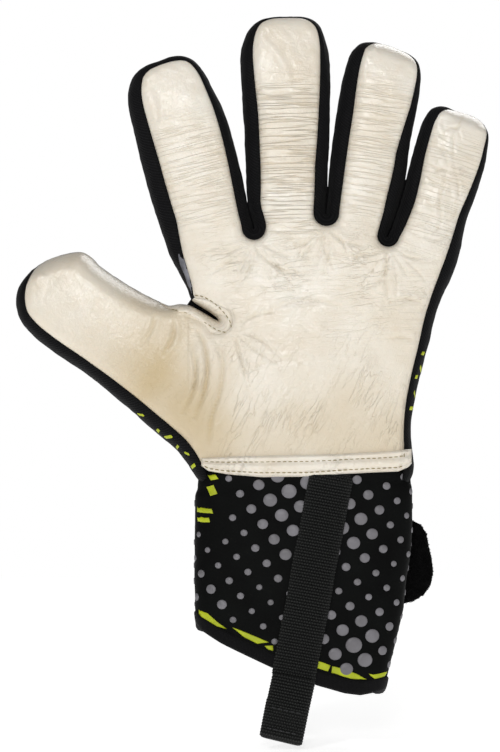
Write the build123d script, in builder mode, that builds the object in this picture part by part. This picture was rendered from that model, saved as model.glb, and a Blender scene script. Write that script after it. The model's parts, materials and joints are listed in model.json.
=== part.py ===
"""Left goalkeeper glove: its sewn panels, finger tubes, wrist cuff, closure strap and pull tab.

Frame, in millimetres: +X towards the little finger, +Y towards the back of the hand and +Z towards the
fingertips. The origin is the middle of the hand opening at the cuff's slanted hem. A panel's depth is
measured towards the palm, which faces -Y.
"""

import os
from dataclasses import dataclass
from math import cos, radians, sin, tan

from build123d import *

os.makedirs("parts", exist_ok=True)

# Sheet thicknesses
latex_thickness = 4.0
foam_thickness = 3.0
back_thickness = 3.0
gusset_wall = 2.4
cavity_depth = 19.0
cuff_depth = 30.0

# Depths of the layers, from the middle plane towards the palm. The latex is flush with the cuff's front.
latex_front = cuff_depth / 2
foam_front = latex_front - latex_thickness
cavity_front = foam_front - foam_thickness
cavity_back = cavity_front - cavity_depth
back_outer = cavity_back - back_thickness

# Clearances and edge rounding
flex_gap = 0.5  # each side of a finger's flex line
latex_round = 2.0
back_round = 2.0
gusset_chamfer = 2.0
gusset_lip = 2.0  # how far the gusset's front lip reaches in under the latex
flex_relief = latex_front - foam_front + 1.0  # the opened crease on the palm side of a flex line
reach = 40.0  # longer than half of any section, for cuts that run right through

# Palm at the wrist, where the cuff is sewn on
palm_left = -44.0
palm_right = 42.0
wrist_left = -46.5
wrist_right = 46.5

# Cuff
cuff_top_width = 94.6
cuff_top_centre = -0.4
cuff_low_width = 84.0
cuff_low_centre = -5.7
cuff_top = 84.0  # the wrist line, which the hand's heights are measured from
cuff_low = -22.0
cuff_wall = 3.5
hem_slope = 19.0  # degrees: the hem is lower on the little-finger side
hem_height = 5.5
hem_proud = 0.6
slit_x = 6.0
slit_top_width = 4.0
slit_low_width = 13.0
slit_top = cuff_top - 22.0
stretch_panel_margin = 7.0
stretch_panel_thickness = 1.2

# Band sewn over the palm latex at the wrist, and the binding round the thumb notch
band_height = 8.7
band_thickness = 1.6
binding_width = 3.2

# Closure strap on the back of the cuff
strap_z = 43.0
strap_height = 38.0
strap_thickness = 2.5
strap_corner = 12.0
strap_anchor_left = -35.0
strap_hinge_x = -24.5
strap_end_x = 57.6
strap_gap = 0.4
pile_thickness = 1.2
pile_left = 2.0
hook_thickness = 1.3
hook_left = 16.0
hook_right = 26.0
hook_height = 32.0

# Pull webbing, sewn down the front of the cuff, and its loose tab, which folds back outwards on itself
webbing_width = 18.3
webbing_thickness = 1.6
webbing_top_x = 11.2
webbing_lean = 10.6  # degrees: its lower end is nearer the thumb
webbing_overhang = 3.5  # below the hem
tab_length = 26.0
tab_fold_length = 21.0
tab_fold_gap = 0.6
tab_hinge_gap = 1.0  # each side of the tab's flex line
tab_narrowing = 0.6  # each side


@dataclass
class Finger:
    """One finger tube, in its own directions: across is in the palm's plane, and along runs to the tip."""

    name: str
    root: tuple  # the middle of the line between its crotches: x, and height above the wrist line
    lean: float  # degrees from +Z towards the little-finger side
    length: float
    half_root: float
    half_tip: float
    latex_root: float
    latex_tip: float
    latex_shift: float  # the latex isn't centred on the tube
    knuckle: float  # distance from the root to the base flex line
    middle: float  # distance from the root to the middle flex line

    @property
    def across(self):
        return Vector(cos(radians(self.lean)), 0, -sin(radians(self.lean)))

    @property
    def along(self):
        return Vector(sin(radians(self.lean)), 0, cos(radians(self.lean)))

    @property
    def origin(self):
        return Vector(self.root[0], 0, cuff_top + self.root[1])

    def front(self, depth):
        """A plane in the palm's plane: x across, y along, normal towards the palm."""
        at = self.origin - Vector(0, depth, 0)
        return Plane(origin=at, x_dir=self.across, z_dir=(0, -1, 0))

    def side(self):
        """A plane through the finger's middle: x along, y towards the palm, normal across."""
        return Plane(origin=self.origin, x_dir=self.along, z_dir=self.across)

    def half_at(self, distance):
        return self.half_root + (self.half_tip - self.half_root) * distance / self.length

    def point(self, across, along):
        at = self.origin + self.across * across + self.along * along
        return (at.X, at.Z)


INDEX = Finger("index", (-40.4, 96.9), -14.5, 85.7, 18.0, 19.6, 12.8, 15.0, 1.4, 13.0, 47.0)
MIDDLE = Finger("middle", (-7.3, 107.4), -1.2, 91.5, 15.8, 19.0, 10.8, 14.0, 0.3, 13.0, 51.0)
RING = Finger("ring", (22.0, 105.2), 8.8, 82.3, 13.8, 16.8, 9.2, 12.0, 0.8, 13.0, 47.0)
LITTLE = Finger("little", (49.9, 94.7), 17.0, 67.0, 14.2, 15.8, 10.8, 12.0, 1.0, 12.0, 38.0)
THUMB = Finger("thumb", (-50.2, 39.4), -55.7, 83.8, 22.5, 20.5, 18.0, 17.0, 3.0, 22.0, 52.0)
FINGERS = [INDEX, MIDDLE, RING, LITTLE, THUMB]



def above_wrist(*points):
    """Points given as x and a height above the wrist line, as (x, z)."""
    return [(x, cuff_top + height) for x, height in points]


# Palm outlines as (x, z). The finger stubs are added to them.
LATEX_EDGE = [
    *above_wrist((palm_left, 0), (palm_right, 0), (43.0, 21.0), (47.5, 50.0), (55.0, 79.0)),
    LITTLE.point(11.0, 0.0), LITTLE.point(-11.0, 0.0), RING.point(9.0, -4.0), RING.point(-9.0, 0.0),
    MIDDLE.point(10.5, 0.0), MIDDLE.point(-10.5, -4.0), INDEX.point(13.0, 0.0), INDEX.point(-10.0, -2.0),
    *above_wrist((-45.5, 79.0), (-31.5, 67.0), (-31.5, 62.5)), THUMB.point(27.0, 2.0),
    THUMB.point(-15.0, 0.0), *above_wrist((-54.0, 18.5), (-45.5, 9.0)),
]
SILHOUETTE = [
    *above_wrist((wrist_left, 0), (wrist_right, 0), (46.0, 17.0), (48.5, 33.0), (53.0, 56.0), (58.0, 76.0)),
    LITTLE.point(14.2, -4.0), LITTLE.point(14.2, 2.0), *above_wrist((36.5, 97.0), (34.0, 97.0)),
    RING.point(-13.0, 0.0), *above_wrist((8.0, 105.0)), MIDDLE.point(-14.8, 0.0),
    *above_wrist((-22.5, 99.5)), INDEX.point(17.0, 0.0), INDEX.point(-18.0, 2.0),
    *above_wrist((-52.0, 80.0), (-48.5, 76.0), (-33.5, 65.5), (-33.5, 62.5)), THUMB.point(25.0, 8.0),
    THUMB.point(-22.0, 4.0), *above_wrist((-73.5, 28.5), (-57.0, 13.5), (-49.0, 4.0)),
]
INDEX_CROTCH, RING_CROTCH, LITTLE_CROTCH = above_wrist((-22.4, 100.2), (8.0, 106.0), (35.3, 97.8))
NOTCH_BOTTOM, NOTCH_INDEX_SIDE = above_wrist((-33.5, 64.2), (-49.0, 76.6))


def palm_plane(depth):
    return Plane.XZ.offset(depth)


def write(builder, name):
    builder.part.label = name
    export_step(builder.part, f"parts/{name}.step")
    return builder.part


def tube_outline(half_root, half_tip, start, end, shift=0.0):
    """A finger's outline in the current sketch, square at the root and rounded at the tip."""
    Polygon(
        (shift - half_root, start), (shift + half_root, start), (shift + half_tip, end),
        (shift - half_tip, end), align=None,
    )
    tip = vertices().sort_by(Axis.Y)[-2:]
    fillet(tip, half_tip * 0.8)


def finger_outline(finger, inset=0.0, latex=False):
    """The finger's outline from its root, drawn in by inset."""
    root = finger.latex_root if latex else finger.half_root
    tip = finger.latex_tip if latex else finger.half_tip
    margin = (finger.half_tip - finger.latex_tip) * 0.5 if latex else 0.0
    shift = finger.latex_shift if latex else 0.0
    tube_outline(root - inset, tip - inset, 0.0, finger.length - margin - inset, shift)


def span_profile(start, end):
    """A section's side view between two flex lines, opened on the palm side for the crease."""
    low = start + flex_gap
    high = end - flex_gap
    Polygon(
        (low, -reach), (low, foam_front), (low + flex_relief, foam_front + flex_relief),
        (high - flex_relief, foam_front + flex_relief), (high, foam_front), (high, -reach), align=None,
    )


def keep_span(finger, start, end):
    """Keeps what the current part has between two flex lines of a finger."""
    with BuildSketch(finger.side()) as profile:
        span_profile(start, end)
    extrude(profile.sketch, amount=reach, both=True, mode=Mode.INTERSECT)


def finger_sections(finger):
    yield f"{finger.name}_base", finger.knuckle, finger.middle
    yield f"{finger.name}_tip", finger.middle, finger.length + reach


def latex_section(finger, start, end):
    with BuildPart() as panel:
        with BuildSketch(finger.front(foam_front)):
            finger_outline(finger, latex=True)
        extrude(amount=latex_thickness)
        fillet(faces().sort_by(Axis.Y)[0].edges(), latex_round)
        keep_span(finger, start, end)
    return panel


def foam_section(finger, start, end):
    with BuildPart() as panel:
        with BuildSketch(finger.front(cavity_front)):
            finger_outline(finger, inset=gusset_lip, latex=True)
        extrude(amount=foam_thickness)
        keep_span(finger, start, end)
    return panel


def back_section(finger, start, end):
    with BuildPart() as panel:
        with BuildSketch(finger.front(back_outer)):
            finger_outline(finger, inset=0.4)
        extrude(amount=back_thickness)
        fillet(faces().sort_by(Axis.Y)[-1].edges(), back_round)
        keep_span(finger, start, end)
    return panel


def gusset_section(finger, start, end):
    """The tube's side walls, with a lip at the front that the latex is sewn to."""
    with BuildPart() as panel:
        with BuildSketch(finger.front(cavity_back)):
            finger_outline(finger)
        extrude(amount=foam_front - cavity_back)
        chamfer(faces().sort_by(Axis.Y)[0].edges(), gusset_chamfer)
        with BuildSketch(finger.front(cavity_back)):
            finger_outline(finger, inset=gusset_wall)
        extrude(amount=cavity_depth, mode=Mode.SUBTRACT)
        with BuildSketch(finger.front(cavity_front)):
            finger_outline(finger, inset=gusset_lip, latex=True)
        extrude(amount=foam_thickness, mode=Mode.SUBTRACT)
        keep_span(finger, start, end)
    return panel


def make_fingers():
    for finger in FINGERS:
        for name, start, end in finger_sections(finger):
            write(latex_section(finger, start, end), f"{name}_latex")
            write(foam_section(finger, start, end), f"{name}_foam")
            write(gusset_section(finger, start, end), f"{name}_gusset")
            write(back_section(finger, start, end), f"{name}_back")


def wall_path(*points, width=gusset_wall):
    """Straight upright walls along the points, in the current sketch."""
    for a, b in zip(points, points[1:]):
        with BuildLine() as run:
            Line(a, b)
        trace(run.line, line_width=width)
        with Locations(b):
            Circle(width / 2)


def gusset_end(finger, side):
    """Where a hand gusset meets the finger tube's wall at its base flex line."""
    along = finger.knuckle - flex_gap
    return finger.point(side * (finger.half_at(along) - gusset_wall / 2), along)


def stub(finger, half, shift=0.0):
    """A finger's root in the current part's sketch, from inside the palm to its base flex line."""
    Polygon(
        finger.point(shift - half, -2.0), finger.point(shift + half, -2.0),
        finger.point(shift + half, finger.knuckle), finger.point(shift - half, finger.knuckle), align=None,
    )


def relieve_stubs():
    """Cuts the finger roots off at their base flex lines, with the palm-side crease opened."""
    for finger in FINGERS:
        width = 2 * finger.half_at(finger.knuckle) + 3.0
        with BuildSketch(finger.side()) as profile:
            end = finger.knuckle - flex_gap
            Polygon(
                (end, -reach), (end, foam_front), (end - flex_relief, foam_front + flex_relief),
                (end + 20, foam_front + flex_relief), (end + 20, -reach), align=None,
            )
        extrude(profile.sketch, amount=width / 2, both=True, mode=Mode.SUBTRACT)


def hand_sheet(outline, depth, thickness, half_widths, walls=()):
    """A sheet over the whole hand, with its finger stubs, trimmed round the walls it meets."""
    with BuildPart() as sheet:
        with BuildSketch(palm_plane(depth)):
            Polygon(*outline, align=None)
            for finger, half, shift in half_widths:
                stub(finger, half, shift)
        extrude(amount=thickness)
        relieve_stubs()
        for wall in walls:
            add(wall, mode=Mode.SUBTRACT)
    return sheet


def hand_wall(name, *points, front=foam_front, width=gusset_wall):
    with BuildPart() as wall:
        with BuildSketch(palm_plane(cavity_back)):
            wall_path(*points, width=width)
        extrude(amount=front - cavity_back)
        relieve_stubs()
        with BuildSketch(Plane.XY.offset(cuff_top)):
            Rectangle(4 * reach, 4 * reach)
        extrude(amount=-reach, mode=Mode.SUBTRACT)
    return write(wall, name)


def make_hand():
    walls = [
        hand_wall("index_middle_gusset", gusset_end(INDEX, 1), INDEX_CROTCH, gusset_end(MIDDLE, -1)),
        hand_wall("middle_ring_gusset", gusset_end(MIDDLE, 1), RING_CROTCH, gusset_end(RING, -1)),
        hand_wall("ring_little_gusset", gusset_end(RING, 1), LITTLE_CROTCH, gusset_end(LITTLE, -1)),
        hand_wall(
            "little_side_gusset", gusset_end(LITTLE, 1),
            *above_wrist((60.5, 88.0), (56.5, 75.0), (51.5, 55.0), (47.0, 33.0), (44.7, 17.0), (45.0, -4.0)),
        ),
        hand_wall("index_side_gusset", gusset_end(INDEX, -1), *above_wrist((-56.0, 95.0), (-50.5, 81.0))),
        hand_wall(
            "thumb_side_gusset", gusset_end(THUMB, -1),
            *above_wrist((-72.5, 28.8), (-55.5, 14.0), (-47.0, 2.0), (-45.0, -4.0)),
        ),
        hand_wall(
            "thumb_notch_binding", gusset_end(THUMB, 1), NOTCH_BOTTOM, NOTCH_INDEX_SIDE,
            front=latex_front, width=binding_width,
        ),
    ]
    latex_stubs = [(f, f.latex_root, f.latex_shift) for f in FINGERS]
    full_stubs = [(f, f.half_at(f.knuckle), 0.0) for f in FINGERS]

    latex = hand_sheet(LATEX_EDGE, foam_front, latex_thickness, latex_stubs, walls)
    foam = hand_sheet(LATEX_EDGE, cavity_front, foam_thickness, latex_stubs, walls)
    back = hand_sheet(SILHOUETTE, back_outer, back_thickness, full_stubs)
    write(latex, "palm_latex")
    write(foam, "palm_foam")
    write(back, "back_of_hand_panel")


def hem_plane(height):
    slope = radians(hem_slope)
    return Plane(origin=(0, 0, 0), z_dir=(sin(slope), 0, cos(slope))).offset(height)


def cuff_slot(z, grow):
    """The cuff's cross-section at a height, grown outwards all round."""
    share = (z - cuff_low) / (cuff_top - cuff_low)
    width = cuff_low_width + (cuff_top_width - cuff_low_width) * share
    centre = cuff_low_centre + (cuff_top_centre - cuff_low_centre) * share
    with BuildSketch(Plane.XY.offset(z)) as section:
        with Locations((centre, 0)):
            SlotOverall(width + 2 * grow, cuff_depth + 2 * grow)
    return section.sketch


def cuff_ring(outside, inside, low, high):
    """A ring of the cuff's shape between two heights above the slanted hem, with the slit cut out."""
    with BuildPart() as ring:
        loft([cuff_slot(cuff_low, outside), cuff_slot(cuff_top, outside)])
        loft([cuff_slot(cuff_low, inside), cuff_slot(cuff_top, inside)], mode=Mode.SUBTRACT)
        split(bisect_by=hem_plane(low), keep=Keep.TOP)
        if high is not None:
            split(bisect_by=hem_plane(high), keep=Keep.BOTTOM)
        with BuildSketch(Plane.XZ):
            Polygon(
                (slit_x - slit_top_width / 2, slit_top), (slit_x + slit_top_width / 2, slit_top),
                (slit_x + slit_low_width / 2, cuff_low), (slit_x - slit_low_width / 2, cuff_low),
                align=None,
            )
        extrude(amount=-reach, mode=Mode.SUBTRACT)
    return ring


def make_cuff():
    write(cuff_ring(0.0, -cuff_wall, hem_height, None), "cuff_sleeve")
    write(cuff_ring(hem_proud, -cuff_wall, 0.0, hem_height), "cuff_hem_binding")

    half = slit_low_width / 2 + stretch_panel_margin
    inner_back = cuff_depth / 2 - cuff_wall
    with BuildPart() as stretch:
        with BuildSketch(Plane.XZ.offset(-inner_back)):
            with Locations((slit_x, slit_top + 4.0)):
                Rectangle(2 * half, slit_top + reach, align=(Align.CENTER, Align.MAX))
        extrude(amount=stretch_panel_thickness)
        split(bisect_by=hem_plane(hem_height), keep=Keep.TOP)
    write(stretch, "cuff_stretch_panel")

    with BuildPart() as band:
        with BuildSketch(palm_plane(latex_front)):
            with Locations((palm_left, cuff_top)):
                Rectangle(palm_right - palm_left, band_height, align=(Align.MIN, Align.MIN))
        extrude(amount=band_thickness)
        fillet(faces().sort_by(Axis.Y)[0].edges(), band_thickness * 0.4)
    write(band, "palm_hem_band")


def make_strap():
    surface = cuff_depth / 2
    hook_face = surface + hook_thickness
    pile_face = hook_face + strap_gap
    strap_face = pile_face + pile_thickness
    strap_outer = strap_face + strap_thickness

    with BuildPart() as hook:
        with BuildSketch(Plane.XZ.offset(-surface)):
            with Locations(((hook_left + hook_right) / 2, strap_z)):
                RectangleRounded(hook_right - hook_left, hook_height, 3.0)
        extrude(amount=-hook_thickness)
    write(hook, "cuff_hook_panel")

    anchor_right = strap_hinge_x - strap_gap
    with BuildPart() as anchor:
        with BuildSketch(Plane.XZ.offset(-surface)):
            with Locations(((strap_anchor_left + anchor_right) / 2, strap_z)):
                Rectangle(anchor_right - strap_anchor_left, strap_height)
        extrude(amount=-(strap_outer - surface))
        loft([cuff_slot(cuff_low, 0.0), cuff_slot(cuff_top, 0.0)], mode=Mode.SUBTRACT)
    write(anchor, "strap_anchor")

    with BuildPart() as strap:
        with BuildSketch(Plane.XZ.offset(-strap_face)):
            with Locations((strap_hinge_x, strap_z)):
                Rectangle(strap_end_x - strap_hinge_x, strap_height, align=(Align.MIN, Align.CENTER))
            fillet(vertices().group_by(Axis.X)[-1], strap_corner)
        extrude(amount=-strap_thickness)
    write(strap, "strap_body")

    with BuildPart() as pile:
        with BuildSketch(Plane.XZ.offset(-pile_face)):
            with Locations((pile_left, strap_z)):
                Rectangle(strap_end_x - pile_left, strap_height, align=(Align.MIN, Align.CENTER))
            fillet(vertices().group_by(Axis.X)[-1], strap_corner)
        extrude(amount=-pile_thickness)
    write(pile, "strap_loop_pile")


def webbing_plane(depth):
    """x across the webbing, y up along it, normal towards the palm, origin at its top end."""
    lean = radians(webbing_lean)
    at = (webbing_top_x, -depth, cuff_top)
    return Plane(origin=at, x_dir=(cos(lean), 0, -sin(lean)), z_dir=(0, -1, 0))


def webbing_run():
    """The webbing's length from its top end to the tab's flex line, just below the hem."""
    lean = radians(webbing_lean)
    slope = tan(radians(hem_slope))
    to_hem = (cuff_top + webbing_top_x * slope) / (cos(lean) + sin(lean) * slope)
    return to_hem + webbing_overhang


def make_webbing():
    face = cuff_depth / 2 + hem_proud
    run = webbing_run()
    hidden = webbing_width / 2 * tan(radians(webbing_lean))
    with BuildPart() as webbing:
        with BuildSketch(webbing_plane(face)):
            with Locations((0, hidden)):
                Rectangle(webbing_width, run + hidden - tab_hinge_gap, align=(Align.CENTER, Align.MAX))
        extrude(amount=webbing_thickness)
        split(bisect_by=Plane.XY.offset(cuff_top), keep=Keep.BOTTOM)
    write(webbing, "pull_webbing")

    flat = webbing_plane(face)
    profile = Plane(origin=flat.from_local_coords((0, -run, 0)), x_dir=-flat.y_dir, z_dir=-flat.x_dir)
    fold = webbing_thickness + tab_fold_gap
    near = tab_hinge_gap
    with BuildPart() as tab:
        with BuildSketch(profile):
            with BuildLine():
                centre = Polyline(
                    (near, webbing_thickness / 2), (tab_length, webbing_thickness / 2),
                    (tab_length, webbing_thickness / 2 + fold),
                    (tab_length - tab_fold_length, webbing_thickness / 2 + fold),
                )
            trace(line_width=webbing_thickness)
        extrude(amount=webbing_width / 2 - tab_narrowing, both=True)
    write(tab, "pull_tab")
    balance = fold * tab_fold_length / (tab_length - near + tab_fold_length)
    hinge = flat.from_local_coords((0, -run, webbing_thickness / 2 + balance))
    print("pull tab flex at", hinge, "axis", flat.x_dir)


make_fingers()
make_hand()
make_cuff()
make_strap()
make_webbing()
for finger in FINGERS:
    for joint, distance in (("base", finger.knuckle), ("middle", finger.middle)):
        at = finger.origin + finger.along * distance - Vector(0, foam_front, 0)
        print(finger.name, joint, "flex at", at, "axis", finger.across)
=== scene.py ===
"""A left-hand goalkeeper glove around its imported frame: latex palm, mesh gussets, cuff, strap and webbing.

Shapes are worked out in millimetres in palm coordinates, (x, z, depth), where depth is measured towards the
palm. world() turns them into the frame's metres: x to the little finger, z to the fingertips, y = -depth.
"""

import json
import math

import bpy
import numpy as np
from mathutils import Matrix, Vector, geometry, kdtree

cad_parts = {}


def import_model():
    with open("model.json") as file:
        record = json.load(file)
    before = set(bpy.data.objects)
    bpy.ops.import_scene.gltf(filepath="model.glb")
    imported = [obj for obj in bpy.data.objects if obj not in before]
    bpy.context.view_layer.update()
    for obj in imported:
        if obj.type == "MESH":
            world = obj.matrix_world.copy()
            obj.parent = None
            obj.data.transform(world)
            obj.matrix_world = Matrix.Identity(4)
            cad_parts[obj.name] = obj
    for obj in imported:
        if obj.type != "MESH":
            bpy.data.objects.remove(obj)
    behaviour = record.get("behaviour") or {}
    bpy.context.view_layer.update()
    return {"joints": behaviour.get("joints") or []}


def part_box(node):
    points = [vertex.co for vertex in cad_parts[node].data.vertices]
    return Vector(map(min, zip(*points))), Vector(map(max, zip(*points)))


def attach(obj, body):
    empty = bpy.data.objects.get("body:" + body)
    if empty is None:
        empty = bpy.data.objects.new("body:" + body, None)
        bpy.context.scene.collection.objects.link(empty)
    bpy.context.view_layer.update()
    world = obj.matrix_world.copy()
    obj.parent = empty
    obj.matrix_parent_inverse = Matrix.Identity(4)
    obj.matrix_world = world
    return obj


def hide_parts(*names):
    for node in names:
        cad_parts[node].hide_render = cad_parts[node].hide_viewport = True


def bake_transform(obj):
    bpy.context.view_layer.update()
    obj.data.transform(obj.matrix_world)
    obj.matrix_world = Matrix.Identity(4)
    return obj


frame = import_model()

MM = 0.001
rng = np.random.default_rng(7)

# Depths of the glove's section, in millimetres
GUSSET_FRONT = 10.2  # the side roll's highest point on the palm side
GUSSET_BACK = 10.6  # and on the back
BACK_SEAM_INSET = 5.0  # from the silhouette to the back panel's seam
SEAM = 9.5  # the usual depth of the latex's sewn edge
STEP = 0.9  # spacing of samples along the outline
LATEX_STEP = 0.8
BACK_STEP = 1.3
WRIST = 84.0
BAND_TOP = 92.8
CUFF_TOP = 87.0


# ---------------------------------------------------------------- frame of each finger

def joint_named(name):
    return next(j for j in frame["joints"] if j["name"] == name)


class Finger:
    """A finger's directions and flex lines, read from its two joints."""

    def __init__(self, name):
        knuckle = joint_named(f"{name}_knuckle_flex")
        middle = joint_named(f"{name}_middle_flex")
        self.name = name
        self.knuckle = np.array([knuckle["pos_m"][0], knuckle["pos_m"][2]]) / MM
        self.middle = np.array([middle["pos_m"][0], middle["pos_m"][2]]) / MM
        span = self.middle - self.knuckle
        self.span = float(np.hypot(*span))
        self.along = span / self.span
        self.across = np.array([self.along[1], -self.along[0]])
        self.bend = 8.5 if name != "thumb" else 15.0
        self.start = -self.bend + 1.0
        self.end = self.bend
        self.split = (self.end + self.span - self.bend_middle) / 2

    @property
    def bend_middle(self):
        return {"little": 9.5, "thumb": 10.0}.get(self.name, 12.0)

    def local(self, points):
        """(across, along) of palm-plane points, along measured from the knuckle's flex line."""
        offset = np.asarray(points)[..., :2] - self.knuckle
        return np.stack([offset @ self.across, offset @ self.along], -1)

    def at(self, across, along):
        return self.knuckle + self.across * across + self.along * along

    def blend_lower(self, piece):
        a, b = self.at(0, self.start), self.at(0, self.end)
        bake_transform(piece)

    def blend_upper(self, piece):
        a = self.at(0, self.span - self.bend_middle)
        b = self.at(0, self.span + self.bend_middle)
        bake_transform(piece)


def world(points):
    """(x, z, depth) rows in millimetres to the frame's metres."""
    p = np.asarray(points, float)
    return np.stack([p[:, 0], -p[:, 2], p[:, 1]], 1) * MM


FINGERS = {name: Finger(name) for name in ("index", "middle", "ring", "little", "thumb")}

# ---------------------------------------------------------------- outline of the hand

# Points on the silhouette, measured on the photograph and turned into millimetres, as (x, z, width, seam).
# Width is how much of the side roll shows between the silhouette and the latex, and seam is the depth of the
# latex's edge, below 0 where it wraps to the back.
THUMB_LOWER = [
    (-45.2, 80.6, 3.5, SEAM), (-47.2, 83.2, 4.8, SEAM), (-50.7, 88.6, 5.8, SEAM), (-55.5, 94.7, 6.2, SEAM),
    (-63.6, 101.3, 6.8, SEAM), (-78.3, 114.3, 6.1, SEAM), (-93.7, 126.9, 5.2, SEAM),
    (-112.7, 140.0, 5.4, SEAM), (-120.0, 146.4, 5.3, SEAM), (-124.0, 152.7, 4.8, SEAM),
    (-125.1, 159.5, 4.5, SEAM), (-123.6, 166.0, 3.6, SEAM), (-120.6, 170.4, 2.2, SEAM - 1),
]
THUMB_UPPER = [
    (-117.0, 174.2, 0.1, -4.0), (-111.0, 178.0, 0.0, -5.5), (-103.0, 180.3, 0.0, -5.5),
    (-97.0, 180.9, 0.0, -5.5), (-93.3, 179.0, 0.0, -5.5), (-89.6, 175.2, 0.0, -5.5),
    (-84.3, 171.2, 0.0, -5.5), (-77.7, 166.9, 0.0, -5.5), (-69.4, 162.2, 0.0, -5.5),
]
NOTCH = [
    (-63.0, 159.1, 0.0, -4.0), (-58.8, 157.5, 1.4, 6.0),
    (-54.6, 157.9, 3.2, 11.5), (-50.2, 157.7, 3.6, 12.0), (-47.3, 156.5, 3.7, 12.0),
    (-43.2, 154.0, 3.7, 12.0), (-39.4, 151.7, 4.3, 12.0), (-37.3, 150.8, 6.2, 12.0),
    (-37.9, 152.0, 4.6, 12.0), (-41.7, 154.9, 4.1, 12.0), (-45.4, 157.2, 3.6, 12.0),
]
INDEX = [
    (-48.7, 159.6, 1.2, 11.0), (-51.3, 165.6, 2.6, SEAM), (-54.9, 172.4, 4.3, SEAM),
    (-58.4, 178.9, 5.9, SEAM), (-62.8, 191.8, 7.7, SEAM), (-67.1, 204.7, 8.1, SEAM),
    (-70.5, 217.6, 7.9, SEAM), (-73.5, 230.5, 7.1, SEAM), (-76.3, 243.0, 6.6, SEAM),
    (-76.6, 249.0, 6.2, SEAM), (-75.6, 254.1, 5.6, SEAM), (-73.2, 258.3, 4.6, SEAM),
    (-68.5, 261.5, 3.1, SEAM), (-63.2, 263.3, 2.4, SEAM), (-58.2, 265.2, 2.9, SEAM),
    (-53.2, 265.7, 2.8, SEAM), (-49.4, 264.5, 2.4, SEAM), (-46.0, 261.7, 2.5, SEAM),
    (-42.9, 257.6, 2.8, SEAM), (-40.3, 252.3, 2.9, SEAM), (-36.1, 244.2, 3.8, SEAM),
    (-32.5, 234.5, 4.3, SEAM), (-29.4, 223.7, 4.7, SEAM), (-27.3, 215.2, 5.0, SEAM),
    (-25.8, 207.2, 4.9, SEAM), (-24.9, 202.4, 4.8, SEAM), (-24.1, 198.5, 4.8, SEAM),
    (-22.2, 191.8, 5.0, SEAM),
]
MIDDLE = [
    (-22.0, 190.6, 5.1, SEAM), (-21.9, 191.8, 5.0, SEAM), (-23.9, 198.5, 5.2, SEAM),
    (-24.7, 202.4, 5.6, SEAM), (-25.1, 207.2, 6.1, SEAM), (-25.6, 217.2, 6.5, SEAM), (-26.5, 238.6, 6.4, SEAM),
    (-27.6, 256.5, 5.7, SEAM), (-27.8, 265.7, 5.4, SEAM), (-26.4, 272.1, 4.5, SEAM),
    (-23.5, 277.8, 3.3, SEAM), (-19.8, 281.0, 2.2, SEAM - 1), (-15.1, 282.3, 1.3, SEAM - 2),
    (-7.3, 282.6, 0.9, SEAM - 3), (-0.3, 282.5, 1.4, SEAM - 2), (4.2, 280.8, 2.0, SEAM - 1),
    (7.2, 277.5, 2.4, SEAM), (9.4, 271.4, 3.1, SEAM), (10.8, 264.3, 4.2, SEAM), (11.2, 252.9, 4.7, SEAM),
    (10.9, 231.5, 5.4, SEAM), (10.2, 217.2, 5.8, SEAM), (10.0, 209.0, 5.8, SEAM), (9.2, 198.4, 5.3, SEAM),
]
RING = [
    (9.25, 197.0, 5.5, SEAM), (9.4, 198.4, 5.3, SEAM), (10.2, 209.0, 6.0, SEAM),
    (11.7, 224.3, 6.6, SEAM), (14.1, 241.4, 6.8, SEAM), (16.3, 254.3, 6.3, SEAM),
    (18.5, 262.9, 5.7, SEAM), (20.8, 267.9, 5.2, SEAM), (24.0, 271.0, 4.0, SEAM - 1),
    (27.3, 271.9, 2.3, SEAM - 4), (30.5, 271.9, 0.2, -1.0), (36.2, 270.7, 0.0, -2.0),
    (41.2, 268.8, 0.0, -2.0), (45.0, 266.9, 0.2, 0.0), (48.1, 264.1, 0.9, SEAM - 4),
    (49.8, 260.7, 1.4, SEAM - 1), (50.4, 256.5, 2.1, SEAM), (50.1, 251.5, 2.6, SEAM),
    (48.7, 242.9, 3.1, SEAM), (46.9, 233.6, 4.2, SEAM), (45.2, 222.9, 5.7, SEAM),
    (44.05, 213.0, 6.4, SEAM), (41.45, 203.0, 6.2, SEAM), (38.4, 193.5, 5.4, SEAM),
    (36.2, 188.4, 4.8, SEAM),
]
LITTLE = [
    (35.9, 187.2, 4.6, SEAM), (36.45, 188.4, 4.6, SEAM), (38.65, 193.5, 5.0, SEAM),
    (41.7, 203.0, 5.8, SEAM), (44.4, 213.6, 5.7, SEAM), (46.8, 222.7, 5.0, SEAM),
    (49.8, 232.4, 4.6, SEAM), (52.1, 238.8, 4.5, SEAM), (54.9, 242.6, 4.4, SEAM),
    (58.6, 243.9, 3.2, SEAM - 1), (61.7, 243.6, 1.4, SEAM - 4), (64.6, 242.6, 0.1, -1.0),
    (71.8, 240.4, 0.0, -2.0), (75.2, 238.9, 0.0, -2.0), (77.8, 236.4, 0.1, -1.0),
    (79.2, 233.6, 0.6, SEAM - 4), (79.8, 230.4, 1.4, SEAM - 1), (79.4, 224.6, 2.3, SEAM),
    (78.4, 218.3, 2.9, SEAM), (76.2, 210.7, 3.3, SEAM), (73.7, 203.1, 3.9, SEAM),
    (70.6, 195.0, 4.2, SEAM), (68.7, 186.7, 4.9, SEAM), (66.8, 178.5, 5.6, SEAM),
    (64.2, 170.4, 6.0, SEAM), (60.6, 162.8, 5.2, SEAM),
]
PALM_SIDE = [
    (58.0, 156.5, 4.8, SEAM), (56.0, 150.0, 4.7, SEAM), (53.8, 140.2, 4.7, SEAM),
    (50.3, 127.3, 4.3, SEAM), (47.4, 114.4, 3.9, SEAM), (46.2, 104.0, 3.5, SEAM),
    (46.6, 96.0, 3.8, SEAM), (47.3, 89.0, 4.5, SEAM), (47.0, 84.4, 4.6, SEAM), (45.4, 80.6, 3.6, SEAM),
]
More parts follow.
